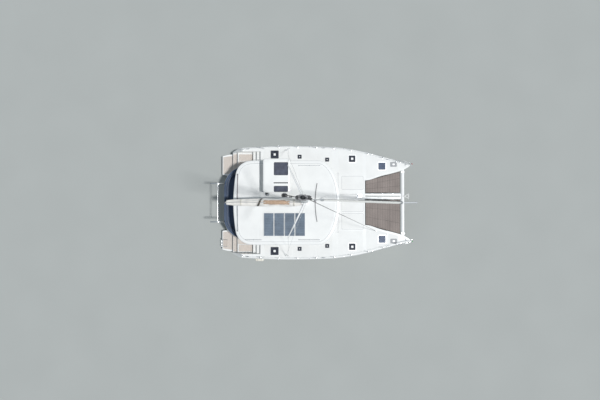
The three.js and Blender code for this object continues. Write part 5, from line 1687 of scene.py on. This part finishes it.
def make_headsail():
    piece("forestay", tube([on_stay(0.2803), STAY_TOP], 0.014, 12), ALLOY)
    along = (STAY_TOP - STAY_FOOT).normalized()
    port = Vector((0, 1, 0))
    up = along.cross(port) * -1
    rings = []
    for i in range(ROLL_STEPS + 1):
        d = mix(ROLL_AT[0], ROLL_AT[-1], i / ROLL_STEPS)
        r = float(np.interp(d, ROLL_AT, ROLL_RADII)) * (1 - 0.35 * max(0.0, (d - 15.5) / 0.2))
        ring = []
        for k in range(ROLL_SIDES):
            angle = TAU * k / ROLL_SIDES
            lap = ((angle + d * 2.76) / TAU) % 1.0
            bulge = 0.90 + 0.085 * lap + 0.012 * math.sin(angle * 5 + d * 3.1)
            ring.append(on_stay(d) + (port * math.cos(angle) + up * math.sin(angle)) * (r * bulge))
        rings.append(ring)
    roll = piece("furled_headsail_roll", loft(rings), SAIL, stands_for=("furled_headsail",),
                 angle=50, clean=False)
    mark_guard_and_shade(roll.data)
    piece("halyard_swivel", lathe(SWIVEL, STAY_FOOT, along, 20), ALLOY)
    sheet = curve([on_stay(1.35) + Vector((-0.08, 0.05, 0.0)), *HEADSAIL_SHEET], 6)
    piece("headsail_sheets", tube(sheet, 0.007, 8), ROPE_WHITE)
    wraps = [torus(on_stay(0.12 + 0.012 * k), along, 0.064, 0.006, 24, 6) for k in range(8)]
    piece("furling_line_turns", wraps, ROPE_WHITE)


make_headsail()


# Trampolines: woven net with a bolt rope and lacing to the hulls, beam and longeron
# where the nets end aft and fore, the stations of the hull's inner edge beside them, and their height
NET_X = (BRIDGE_FORE + 0.05, BEAM["x"] - BEAM["half"] - 0.06)
NET_HEEL = 3.421
NET_KNEE = (4.52, 1.792)
NET_Z = 1.886
ACROSS, ALONG = 22, 36


def net_edge(x):
    """Inner edge of the hull beside the net at x, straight between three stations."""
    knee_x, knee_y = NET_KNEE
    if x <= knee_x:
        return BRIDGE_HALF + (x - NET_HEEL) * (knee_y - BRIDGE_HALF) / (knee_x - NET_HEEL)
    return mix(knee_y, 2.18, (x - knee_x) / 1.4)


def laced(a, b, out, gap=0.06):
    """Zigzag of cord between the net's edge and the structure beside it."""
    a, b, out = Vector(a), Vector(b), Vector(out)
    steps = max(2, round((b - a).length / gap))
    path = [a.lerp(b, k / steps) + out * (1.0 if k % 2 else -0.25) for k in range(steps + 1)]
    return tube(path, 0.003, 5)


def make_trampoline(side, sign, start):
    """A net from the longeron, start metres off the centreline, out to the hull."""
    x0, x1 = NET_X
    points = []
    for i in range(ALONG + 1):
        x = mix(x0, x1, i / ALONG)
        for k in range(ACROSS + 1):
            t = k / ACROSS
            y = mix(start + 0.045, net_edge(x) - 0.05, t)
            sag = -0.012 * math.sin(math.pi * t) * math.sin(math.pi * i / ALONG)
            points.append((x, sign * y, NET_Z + sag + 0.002 * math.sin(9 * x + 7 * y)))
    count = ACROSS + 1
    faces = grid_faces(ALONG + 1, count, sign < 0)
    node = f"trampoline_{side}"
    made = piece(f"{node}_net", (points, faces), NET, stands_for=(node,), clean=False)
    thickened(made, "net")
    rim = points[:count] + [points[i * count + ACROSS] for i in range(1, ALONG + 1)]
    rim += points[ALONG * count:-1][::-1] + [points[i * count] for i in reversed(range(1, ALONG))]
    edge = piece(f"{node}_border", tube(rim + [rim[0]], 0.012, 8), NET_BORDER)
    lines = [points[round(ACROSS * share)::count] for share in (0.33, 0.66)]
    lines += [points[i * count:(i + 1) * count] for i in (round(ALONG * share) for share in (0.35, 0.7))]
    seams = [tube([(x, y, z + 0.002) for x, y, z in line], 0.006, 6) for line in lines]
    piece(f"{node}_seams", seams, NET_BORDER)
    at = lambda x, y: (x, sign * y, NET_Z)
    knee_x = NET_KNEE[0]
    lacing = [laced(at(x, start + 0.05), at(x, net_edge(x) - 0.06), (out, 0, 0))
              for x, out in ((x0, -0.045), (x1, 0.055))]
    lacing += [laced(at(a, net_edge(a) - 0.05), at(b, net_edge(b) - 0.05), (0, sign * 0.045, 0))
               for a, b in ((x0, knee_x), (knee_x, x1))]
    lacing.append(laced(at(x0, start + 0.045), at(x1, start + 0.045), (0, sign * -0.042, 0)))
    piece(f"{node}_lacing", lacing, ROPE_GREY)


make_trampoline("port", 1, 0.63)
make_trampoline("starboard", -1, -0.23)


# Bows: longeron's channel, beam fittings, anchor chain, lines
CHAIN_Y = 0.43
CHAIN_LINKS = 44


def make_bow():
    channel = box(3.44, 5.80, CHAIN_Y - 0.055, CHAIN_Y + 0.055, 1.8985, 1.9012)
    piece("chain_channel", channel, PALE_GREY)
    pads = [box(x - 0.03, x + 0.03, y - 0.012, y + 0.012, 1.897, 1.904) for x in (3.9, 4.6, 5.3)
            for y in (0.26, 0.60)]
    piece("longeron_pads", pads, STEEL)
    links = []
    for k in range(CHAIN_LINKS):
        spot = Matrix.Translation((3.24 + k * 0.058, CHAIN_Y, 1.914))
        turn = spot @ Matrix.Rotation(math.radians(90 * (k % 2)), 4, "X")
        ring = [turn @ Vector((0.024 * math.copysign(abs(math.cos(a)) ** 0.7, math.cos(a)),
                               0.014 * math.sin(a), 0)) for a in (TAU * j / 12 for j in range(12))]
        links.append(tube(ring, 0.0045, 6, closed=True))
    piece("anchor_chain", links, ZINC)
    caps = [slab(5.84, 6.04, y - 0.03, y + 0.03, 1.962, 1.978, 0.02, 0.004) for y in (-2.05, 2.05)]
    caps += [torus((6.05, y, 1.90), (0, 1, 0), 0.030, 0.006, 16, 8) for y in (-0.6, 0.95)]
    piece("beam_fittings", caps, STEEL)
    cap = [(0.0, 0.0), (0.036, 0.0), (0.040, 0.012), (0.0, 0.018)]
    piece("bowsprit_cap", lathe(cap, (6.885, 0, 1.9585), (1, 0, 0.08), 24), BLACK)
    bob = tube([(6.86, 0, 1.92), (BEAM["x"] + 0.03, 0, 1.46)], 0.006, 6)
    piece("bowsprit_stay", bob, STEEL)


make_bow()


# Guard rails: round tubes with gates and fittings
RAIL = ((-4.75, 3.56), (-3.60, 3.69), (-2.35, 3.73), (-1.10, 3.725), (0.15, 3.69), (1.35, 3.65),
        (2.50, 3.50), (3.60, 3.265), (4.60, 3.00), (5.50, 2.755))
RAIL_TALL = 0.64
RAIL_TUBE = 0.0125
RAIL_SOCKET = ((0.0, 0.0), (0.045, 0.0), (0.043, 0.008), (0.022, 0.012), (0.019, 0.05), (0.0, 0.05))
RAIL_CAP = ((0.0, 0.0), (RAIL_TUBE, 0.0), (0.010, 0.008), (0.0, 0.011))
# pulpit tubes forward of the last stanchion: x, y and height over the deck
PULPIT = ((6.05, 2.64, 0.64), (6.33, 2.56, 0.60), (6.39, 2.52, 0.33), (6.36, 2.52, 0.04),
          (6.35, 2.52, 0.002))
PULPIT_MIDDLE = ((6.00, 2.64, 0.33), (6.385, 2.52, 0.30))


def make_rails(side, own):
    foot = lambda p: Vector((p[0], p[1], deck_z(p[0]) + 0.0006))
    at = lambda p, share: Vector((p[0], p[1], deck_z(p[0]) + RAIL_TALL * share))
    steel = []
    for p in RAIL:
        steel += [rod(foot(p), at(p, 1.0), RAIL_TUBE, 12), lathe(RAIL_SOCKET, foot(p), sides=16),
                  lathe(RAIL_CAP, at(p, 1.0), sides=12)]
    wires = [rod(at(a, share), at(b, share), 0.0035, 6) for a, b in zip(RAIL, RAIL[1:])
             for share in (0.5, 0.96)]
    z = deck_z(6.3)
    upper, middle = ([at(RAIL[-1], share), *((x, y, z + rise) for x, y, rise in way)]
                     for share, way in ((1.0, PULPIT), (0.5, PULPIT_MIDDLE)))
    steel += [tube(curve(upper, 8), RAIL_TUBE, 12),
              rod((6.33, 2.55, z + 0.60), (6.33, 2.37, z + 0.60), RAIL_TUBE, 12),
              tube(curve(middle, 8), 0.010, 10)]
    x, y = RAIL[1]
    brace = curve([at(RAIL[1], 0.98), (x + 0.03, y - 0.02, deck_z(x) + 0.60),
                   (x + 0.30, y - 0.06, deck_z(x))], 5)
    steel.append(tube(brace, 0.011, 10))
    piece(f"guard_rail_{side}_tubes", own(*steel), STEEL, stands_for=(f"guard_rail_{side}",),
          angle=50)
    piece(f"guard_rail_{side}_wires", own(*wires), STEEL, angle=60)
    lens = GREEN_LENS if side == "starboard" else RED_LENS
    lamp = slab(6.34, 6.40, 2.49, 2.55, z + 0.61, z + 0.67, 0.025, 0.006)
    piece(f"side_light_{side}", own(lamp), lens)


on_both_sides(make_rails)


# Fender lashed to the starboard gate stanchion, outside the gunwale
FENDER_AT = (-3.68, -3.862, 1.42)
FENDER_SIZE = (0.115, 0.29)


def make_fender():
    x, y, z = FENDER_AT
    r, half = FENDER_SIZE
    profile = [(0.0, -half - 0.03), (0.022, -half - 0.03), (0.028, -half)]
    profile += [(r * math.sin(math.radians(a)) ** 0.8, -half + 0.10 * (1 - math.cos(math.radians(a))))
                for a in (18, 36, 54, 72, 90)]
    profile += [(u, -v) for u, v in reversed(profile)]
    piece("fender", lathe(profile, (x, y, z), (1, 0, 0), 32), FENDER, angle=40)
    ends = (x - 0.12, x + 0.12)
    bands = [torus((end, y, z), (1, 0, 0), r + 0.003, 0.006, 40, 8) for end in ends]
    foot = (RAIL[1][0], -RAIL[1][1], deck_z(RAIL[1][0]) + 0.05)
    bands += [tube(curve([foot, (mix(x, end, 0.6), y + 0.10, 1.70), (end, y + 0.02, z + r + 0.008)], 6),
                   0.006, 8) for end in ends]
    piece("fender_lashings", bands, ROPE_BROWN)


make_fender()


# Under water: keels, rudders, saildrive legs and propellers
def foil(x_fore, x_aft, y, z, thick, side=18):
    """A section across Z with a round nose and a thin tail."""
    upper = []
    for k in range(side + 1):
        t = (k / side) ** 1.6
        upper.append((mix(x_fore, x_aft, t), 1.3 * math.sqrt(t) * (1 - t) * thick))
    ring = [(x, y + max(half, 0.002), z) for x, half in upper[1:]]
    return [(x_fore, y, z)] + ring + [(x, y - max(half, 0.002), z) for x, half in reversed(upper[1:])]


def blended(rows, y, x=0.0):
    """Loft of foil sections: fore and after end counted from x, height, thickness."""
    return loft([foil(x + fore, x + aft, y, z, thick) for fore, aft, z, thick in rows])


KEEL = ((0.93, -1.44, -1.28, 0.16), (1.00, -1.50, -1.25, 0.20), (1.12, -1.72, -0.94, 0.27),
        (1.25, -1.90, KEEL_LINE - GAP, 0.33))
RUDDER = ((0.06, -0.22, -1.160, 0.03), (0.11, -0.27, -1.130, 0.06), (0.13, -0.305, -0.76, 0.075),
          (0.15, -0.34, -0.37, 0.09))
LEG = ((0.12, -0.19, SHAFT_Z, 0.11), (0.125, -0.19, -0.62, 0.105), (0.15, -0.19, 0.08, 0.13))
# radius and distance along the shaft of the turned parts
POD = ((0.0, -0.205), (0.055, -0.20), (0.060, -0.15), (0.062, 0.0), (0.056, 0.11), (0.042, 0.18),
       (0.022, 0.215), (0.0, 0.22))
HUB = ((0.0, -0.385), (0.018, -0.380), (0.032, -0.36), (0.040, -0.33), (0.052, -0.25), (0.055, -0.208),
       (0.0, -0.208))
CONE = ((0.0, -0.425), (0.012, -0.42), (0.030, -0.386), (0.0, -0.386))


# radius, half chord, pitch in degrees and thickness along a propeller blade
BLADE = ((0.035, 0.040, 62, 0.016), (0.060, 0.055, 52, 0.013), (0.100, 0.068, 40, 0.010),
         (0.140, 0.066, 31, 0.008), (0.172, 0.046, 26, 0.006), (0.192, 0.014, 24, 0.004))
BLADES = 3
PROPELLER_X = -4.625


def propeller_blades(centre):
    rings = []
    for r, chord, pitch, thick in BLADE:
        s, c = math.sin(math.radians(pitch)), math.cos(math.radians(pitch))
        spots = [(chord * math.cos(TAU * k / 12), thick * 0.5 * math.sin(TAU * k / 12)) for k in range(12)]
        rings.append([(u * s - v * c, u * c + v * s, r) for u, v in spots])
    return [turned(loft(rings), Matrix.Translation(centre) @ Matrix.Rotation(TAU * k / BLADES, 4, "X"))
            for k in range(BLADES)]


def make_underwater(side, own):
    y = HULL_MID
    piece(f"keel_{side}_fin", own(blended(KEEL, y)), ANTIFOUL,
          stands_for=(f"keel_{side}",), angle=50)
    stock = rod((RUDDER_X, y, -0.43), (RUDDER_X, y, -0.16), 0.035, 24)
    piece(f"rudder_{side}_blade", own(blended(RUDDER, y, RUDDER_X)), ANTIFOUL,
          f"rudder_{side}", stands_for=(f"rudder_{side}",), angle=50)
    piece(f"rudder_{side}_stock", own(stock), STEEL, f"rudder_{side}")
    x = LEG_X
    pod, hub, cone = (lathe(profile, (x, y, SHAFT_Z), (1, 0, 0), sides)
                      for profile, sides in ((POD, 28), (HUB, 28), (CONE, 24)))
    plate = loft([foil(x + 0.17, x - 0.30, y, z, 0.20, 14) for z in (-0.622, -0.612)])
    block = slab(x - 0.78, x + 0.12, y - 0.24, y + 0.24, 0.08, 0.64, 0.06, 0.03)
    piece(f"saildrive_{side}_leg", own(blended(LEG, y, x), pod, plate), ENGINE_PAINT,
          stands_for=(f"engine_and_saildrive_{side}",), angle=45)
    piece(f"engine_{side}_block", own(block), ENGINE_PAINT)
    blades = propeller_blades((PROPELLER_X, y, SHAFT_Z))
    piece(f"propeller_{side}_hub", own(hub, *blades), BRONZE, f"propeller_{side}",
          stands_for=(f"propeller_{side}",), angle=45)
    piece(f"propeller_{side}_anode", own(cone), ZINC, f"propeller_{side}")


# Hull side: dark portlights in a rim, exhaust and drain fittings
def hull_side(x, z):
    """Outer face of the hull at x and height z, above the waterline."""
    ring = hull_ring(x, False)
    side_points = sorted(((p[2], p[1]) for p in ring if p[1] > HULL_MID and 0.2 < p[2] < deck_z(x) - 0.05))
    return float(np.interp(z, [p[0] for p in side_points], [p[1] for p in side_points]))


def side_panel(x0, x1, z0, z1, r, out, depth=0.006):
    """A panel that follows the hull side: outline in X and Z, standing out by out."""
    outline = []
    corners = round_rect(x0, x1, z0, z1, r, 5)
    for a, b in zip(corners, corners[1:] + corners[:1]):
        parts = max(1, round(math.dist(a, b) / 0.08))
        outline += [(mix(a[0], b[0], k / parts), mix(a[1], b[1], k / parts)) for k in range(parts)]
    rows = [[(mix((x0 + x1) / 2, x, share), mix((z0 + z1) / 2, z, share)) for x, z in outline]
            for share in (1.0, 0.5, 0.02)]
    rings = [[(x, hull_side(x, z) - depth, z) for x, z in rows[0]]]
    rings += [[(x, hull_side(x, z) + out, z) for x, z in row] for row in rows]
    return loft(rings)


HULL_WINDOWS = ((-2.95, -1.55), (-1.15, 0.65), (1.35, 2.75))
HULL_WINDOW_Z = (1.18, 1.42)
# x, z and bore of the outlets in the hull side
OUTLETS = ((-4.6, 0.24, 0.045), (-4.3, 0.26, 0.02), (-0.2, 0.42, 0.02), (1.1, 0.44, 0.016),
           (1.3, 0.44, 0.016))


def make_hull_side(side, own):
    rims = [side_panel(*grown(*window, *HULL_WINDOW_Z, 0.02), 0.14, 0.003) for window in HULL_WINDOWS]
    panes = [side_panel(*window, *HULL_WINDOW_Z, 0.12, 0.006) for window in HULL_WINDOWS]
    piece(f"hull_window_rims_{side}", own(*rims), BLACK, angle=30)
    piece(f"hull_windows_{side}", own(*panes), ACRYLIC, angle=30)
    outlets = []
    for x, z, r in OUTLETS:
        outlets.append(lathe([(0.0, -0.02), (r, -0.02), (r * 1.25, 0.0), (r * 1.15, 0.008),
                              (r * 0.8, 0.008), (r * 0.7, -0.004), (0.0, -0.004)], (x, hull_side(x, z), z),
                             (0, 1, 0), 20))
    piece(f"hull_outlets_{side}", own(*outlets), STEEL)


on_both_sides(make_underwater, make_hull_side)


# Cabin door, davits, swim ladder and the cockpit's small fittings
DOOR = (-2.106, -2.066, -1.34, -0.11, 1.32, 3.125)
DOOR_GRIP = ((0.0, 2.02), (0.045, 2.035), (0.050, 2.20), (0.045, 2.365), (0.0, 2.38))
LADDER = {"x": -6.44, "z": 0.50, "y0": -3.06, "y1": -2.60, "long": 0.43, "pin": 0.012,
          "treads": (0.13, 0.26, 0.39)}


def upright(x0, x1, y0, y1, z0, z1, r, edge=0.0):
    """A rounded slab that stands across X, from x0 to x1."""
    rings = []
    for x, inset in ((x0, edge), (x0 + edge, 0.0), (x1 - edge, 0.0), (x1, edge)):
        rings.append([(x, y, z) for y, z in round_rect(y0 + inset, y1 - inset, z0 + inset, z1 - inset,
                                                       max(0.002, r - inset))])
    return loft(rings if edge else [rings[0], rings[-1]])


def make_door():
    x0, x1, y0, y1, z0, z1 = DOOR
    middle = (x0 + x1) / 2
    light = (y0 + 0.08, y1 - 0.08, z0 + 0.11, z1 - 0.09)
    leaf = carved(upright(*DOOR, 0.01, 0.003), [upright(x0 - 0.1, x1 + 0.1, *light, 0.04)])
    piece("door_frame", leaf, WHITE_PAINT, "sliding_door", stands_for=("sliding_door",))
    glass = upright(middle - 0.005, middle + 0.005, *grown(*light, 0.01), 0.045)
    piece("door_glass", glass, TINT, "sliding_door")
    gasket = [torus_rect(x, light, 0.006) for x in (middle - 0.008, middle + 0.008)]
    piece("door_gasket", gasket, BLACK, "sliding_door")
    y = y1 - 0.045
    grip = curve([(x0 - out, y, z) for out, z in DOOR_GRIP], 6)
    plate = upright(x0 - 0.004, x0 + 0.001, y - 0.022, y + 0.022, 1.97, 2.43, 0.02, 0.001)
    piece("door_handle", merged(tube(grip, 0.009, 14), plate), STEEL, "sliding_door")


def torus_rect(x, light, r):
    """A bead round a rounded opening that stands across X."""
    return tube([(x, y, z) for y, z in round_rect(*light, 0.04)], r, 8, closed=True)


DAVIT_Y = 1.25
DAVIT_FOOT = ((0.0, 2.09), (0.052, 2.09), (0.050, 2.11), (0.040, 2.15), (0.0, 2.15))
DAVIT_CAP = ((0.0, 0.0), (0.036, 0.002), (0.037, 0.012), (0.0, 0.016))


def make_davits():
    arms, blocks = [], []
    for y in (DAVIT_Y, -DAVIT_Y):
        way = curve([(-5.905, y, 2.12), (-5.95, y, 2.40), (-6.25, y, 2.60), (-6.75, y, 2.64)], 9)
        arms += [tube(way, 0.038, 24),
                 slab(-5.945, -5.865, y - 0.06, y + 0.06, 2.0803, 2.094, 0.03, 0.003),
                 lathe(DAVIT_FOOT, (-5.907, y, 0), sides=28),
                 torus((-6.70, y, 2.588), (0, 1, 0), 0.020, 0.006, 16, 8)]
        blocks += [sheave(-6.70, y, 2.545, 0.030, 0.024, 0.012),
                   lathe(DAVIT_CAP, way[-1], (-1, 0, 0.05), 24)]
    arms.append(rod((-6.30, -DAVIT_Y - 0.01, 2.60), (-6.30, DAVIT_Y + 0.01, 2.60), 0.024, 20))
    piece("davit_arms", arms, STEEL, stands_for=("davits",), angle=50)
    piece("davit_blocks", blocks, BLACK)


def make_ladder():
    x, z, y0, y1 = (LADDER[key] for key in ("x", "z", "y0", "y1"))
    end = x + LADDER["long"] - 0.012
    cap = [(0.0, 0.0), (0.016, 0.0), (0.013, 0.008), (0.0, 0.012)]
    bars = []
    for y in (y0, y1):
        bars += [rod((x, y, z), (end, y, z), 0.016, 18), lathe(cap, (end, y, z), (1, 0, 0), 18)]
    bars.append(rod((x, y0 - 0.042, z), (x, y1 + 0.042, z), LADDER["pin"], 18))
    piece("ladder_rails", bars, STEEL, "swim_ladder", stands_for=("swim_ladder",), angle=50)
    treads = [slab(x + d - 0.028, x + d + 0.028, y0 + 0.010, y1 - 0.010, z - 0.010, z + 0.012, 0.012, 0.004)
              for d in LADDER["treads"]]
    piece("ladder_treads", treads, TEAK, "swim_ladder")


SOLE_GRIPS = (((-5.22, -3.28, -1.60, 1.60), 0.25), ((-3.22, -2.16, -2.20, 0.74), 0.08))
GRAB_BAR = ((-2.064, 0.15), (-2.13, 0.15), (-2.15, 0.30), (-2.15, 0.66), (-2.13, 0.78), (-2.064, 0.78))


def make_cockpit_details():
    grip = [prism(round_rect(*area, r), SOLE - 0.001, SOLE + 0.003) for area, r in SOLE_GRIPS]
    foot = button(-4.35, 0, 1.2, 0.20, 0.20, 0.2, sides=32)
    piece("cockpit_sole_grip", carved(merged(*grip), [foot]), NONSKID)
    doors = [upright(-3.156, -3.149, 1.22, 2.14, *heights, 0.05, 0.002)
             for heights in ((1.42, 2.02), (2.14, 2.48))]
    piece("helm_locker_doors", doors, GELCOAT, angle=40)
    latches = [torus((-3.158, y, z), (1, 0, 0), 0.020, 0.004, 20, 8)
               for y, z in ((1.32, 1.72), (2.04, 1.72), (1.32, 2.31))]
    piece("helm_locker_latches", latches, STEEL)
    piece("helm_step_grip", slab(-2.78, -2.14, 0.83, 1.09, 1.7195, 1.724, 0.03, 0.001), NONSKID)
    piece("helm_floor_grip", slab(-2.74, -2.36, 1.16, 2.22, 2.0995, 2.104, 0.04, 0.001), NONSKID)
    bar = curve([(x, y, 2.95) for x, y in GRAB_BAR], 5)
    piece("doorway_grab_bar", tube(bar, 0.012, 14), STEEL)


SERVERY = (-2.35, -1.62, 2.18, 2.92)


def make_servery():
    """Frame and sill of the open window between the saloon and the cockpit."""
    s, x0, x1 = SERVERY, BULKHEAD - 0.003, BULKHEAD + WALL + 0.008
    outer = upright(x0, x1, *grown(*s, 0.03), 0.04, 0.003)
    inner = upright(x0 - 0.1, x1 + 0.1, *grown(*s, -0.012), 0.03)
    piece("servery_frame", carved(outer, [inner]), WHITE_PAINT)
    y0, y1, z0, _ = s
    sill = slab(x0 + 0.001, x1 + 0.14, y0 + 0.02, y1 - 0.02, z0 + 0.0125, z0 + 0.033, 0.02, 0.005)
    piece("servery_sill", sill, VARNISH)


# outlines in X and height over the beam's top
CHEEK = ((6.050, -0.045), (6.06, -0.065), (6.24, -0.065), (6.27, -0.04), (6.27, 0.05), (6.24, 0.08),
         (6.06, 0.08), (5.99, 0.02), (5.985, -0.003))
SHANK = ((5.965, 0.070), (6.20, 0.034), (6.375, -0.010), (6.43, -0.33), (6.30, -0.49), (6.26, -0.50),
         (6.36, -0.27), (6.325, 0.018), (6.20, 0.066), (5.965, 0.110))
ROLLER = ((0.0, -0.042), (0.044, -0.042), (0.040, -0.034), (0.026, -0.010), (0.026, 0.010), (0.040, 0.034),
          (0.044, 0.042), (0.0, 0.042))


def make_anchor():
    """Scoop anchor hung on the roller at the forward crossbeam."""
    y, top = CHAIN_Y, BEAM["z1"]
    cheek, shank = ([(x, top + z) for x, z in outline] for outline in (CHEEK, SHANK))
    cheeks = [prism_y(cheek, y + k * 0.048 - 0.004, y + k * 0.048 + 0.004) for k in (-1, 1)]
    pins = [rod((x, y - 0.062, z), (x, y + 0.062, z), 0.009, 12)
            for x, z in ((6.23, top), (6.10, top + 0.06))]
    piece("anchor_cheeks", [*cheeks, *pins], GALVANISED, stands_for=("anchor",))
    roller = lathe(ROLLER, (6.23, y, top), (0, 1, 0), 28)
    piece("anchor_roller", roller, BLACK)
    rings = []
    for k in range(9):
        t = k / 8
        half = 0.010 + 0.200 * t ** 0.6
        spots = [v / 5 for v in range(-5, 6)]
        face = [(6.20 + 0.26 * t, y + half * v, 1.49 + 0.07 * t + 0.05 * t * v * v) for v in spots]
        rings.append(face + [(px, py, pz - 0.009) for px, py, pz in reversed(face)])
    iron = merged(prism_y(shank, y - 0.009, y + 0.009), loft(rings))
    piece("anchor_iron", iron, GALVANISED, angle=40)


make_door()
make_servery()
make_anchor()
make_davits()
make_ladder()
make_cockpit_details()


# Floor at the waterline, and soft light from high over the starboard bow
FLOOR_HALF = 90
SUN_FROM = Vector((0.3969, -0.07695, 1.0))
SUN_STRENGTH = 2.76
SUN_SPREAD = math.radians(4)
SKY_COLOUR = (0.76, 0.88, 1.0, 1)
SKY_STRENGTH = 0.36
FLOOR = mottled("floor", (0.39, 0.405, 0.39), 0.85, spread=0.02, scale=0.3)

floor = placed("floor", ([(x * FLOOR_HALF, y * FLOOR_HALF, 0)
                          for x, y in ((-1, -1), (1, -1), (1, 1), (-1, 1))], [(0, 1, 2, 3)]))
floor.data.materials.append(FLOOR)

sun = bpy.data.objects.new("sun", bpy.data.lights.new("sun", "SUN"))
sun.data.energy = SUN_STRENGTH
sun.data.angle = SUN_SPREAD
sun.rotation_euler = SUN_FROM.to_track_quat("Z", "Y").to_euler()
bpy.context.scene.collection.objects.link(sun)
world = bpy.data.worlds.new("world")
world.use_nodes = True
sky = world.node_tree.nodes["Background"].inputs
sky["Color"].default_value = SKY_COLOUR
sky["Strength"].default_value = SKY_STRENGTH
bpy.context.scene.world = world
bpy.context.scene.view_settings.view_transform = "Standard"
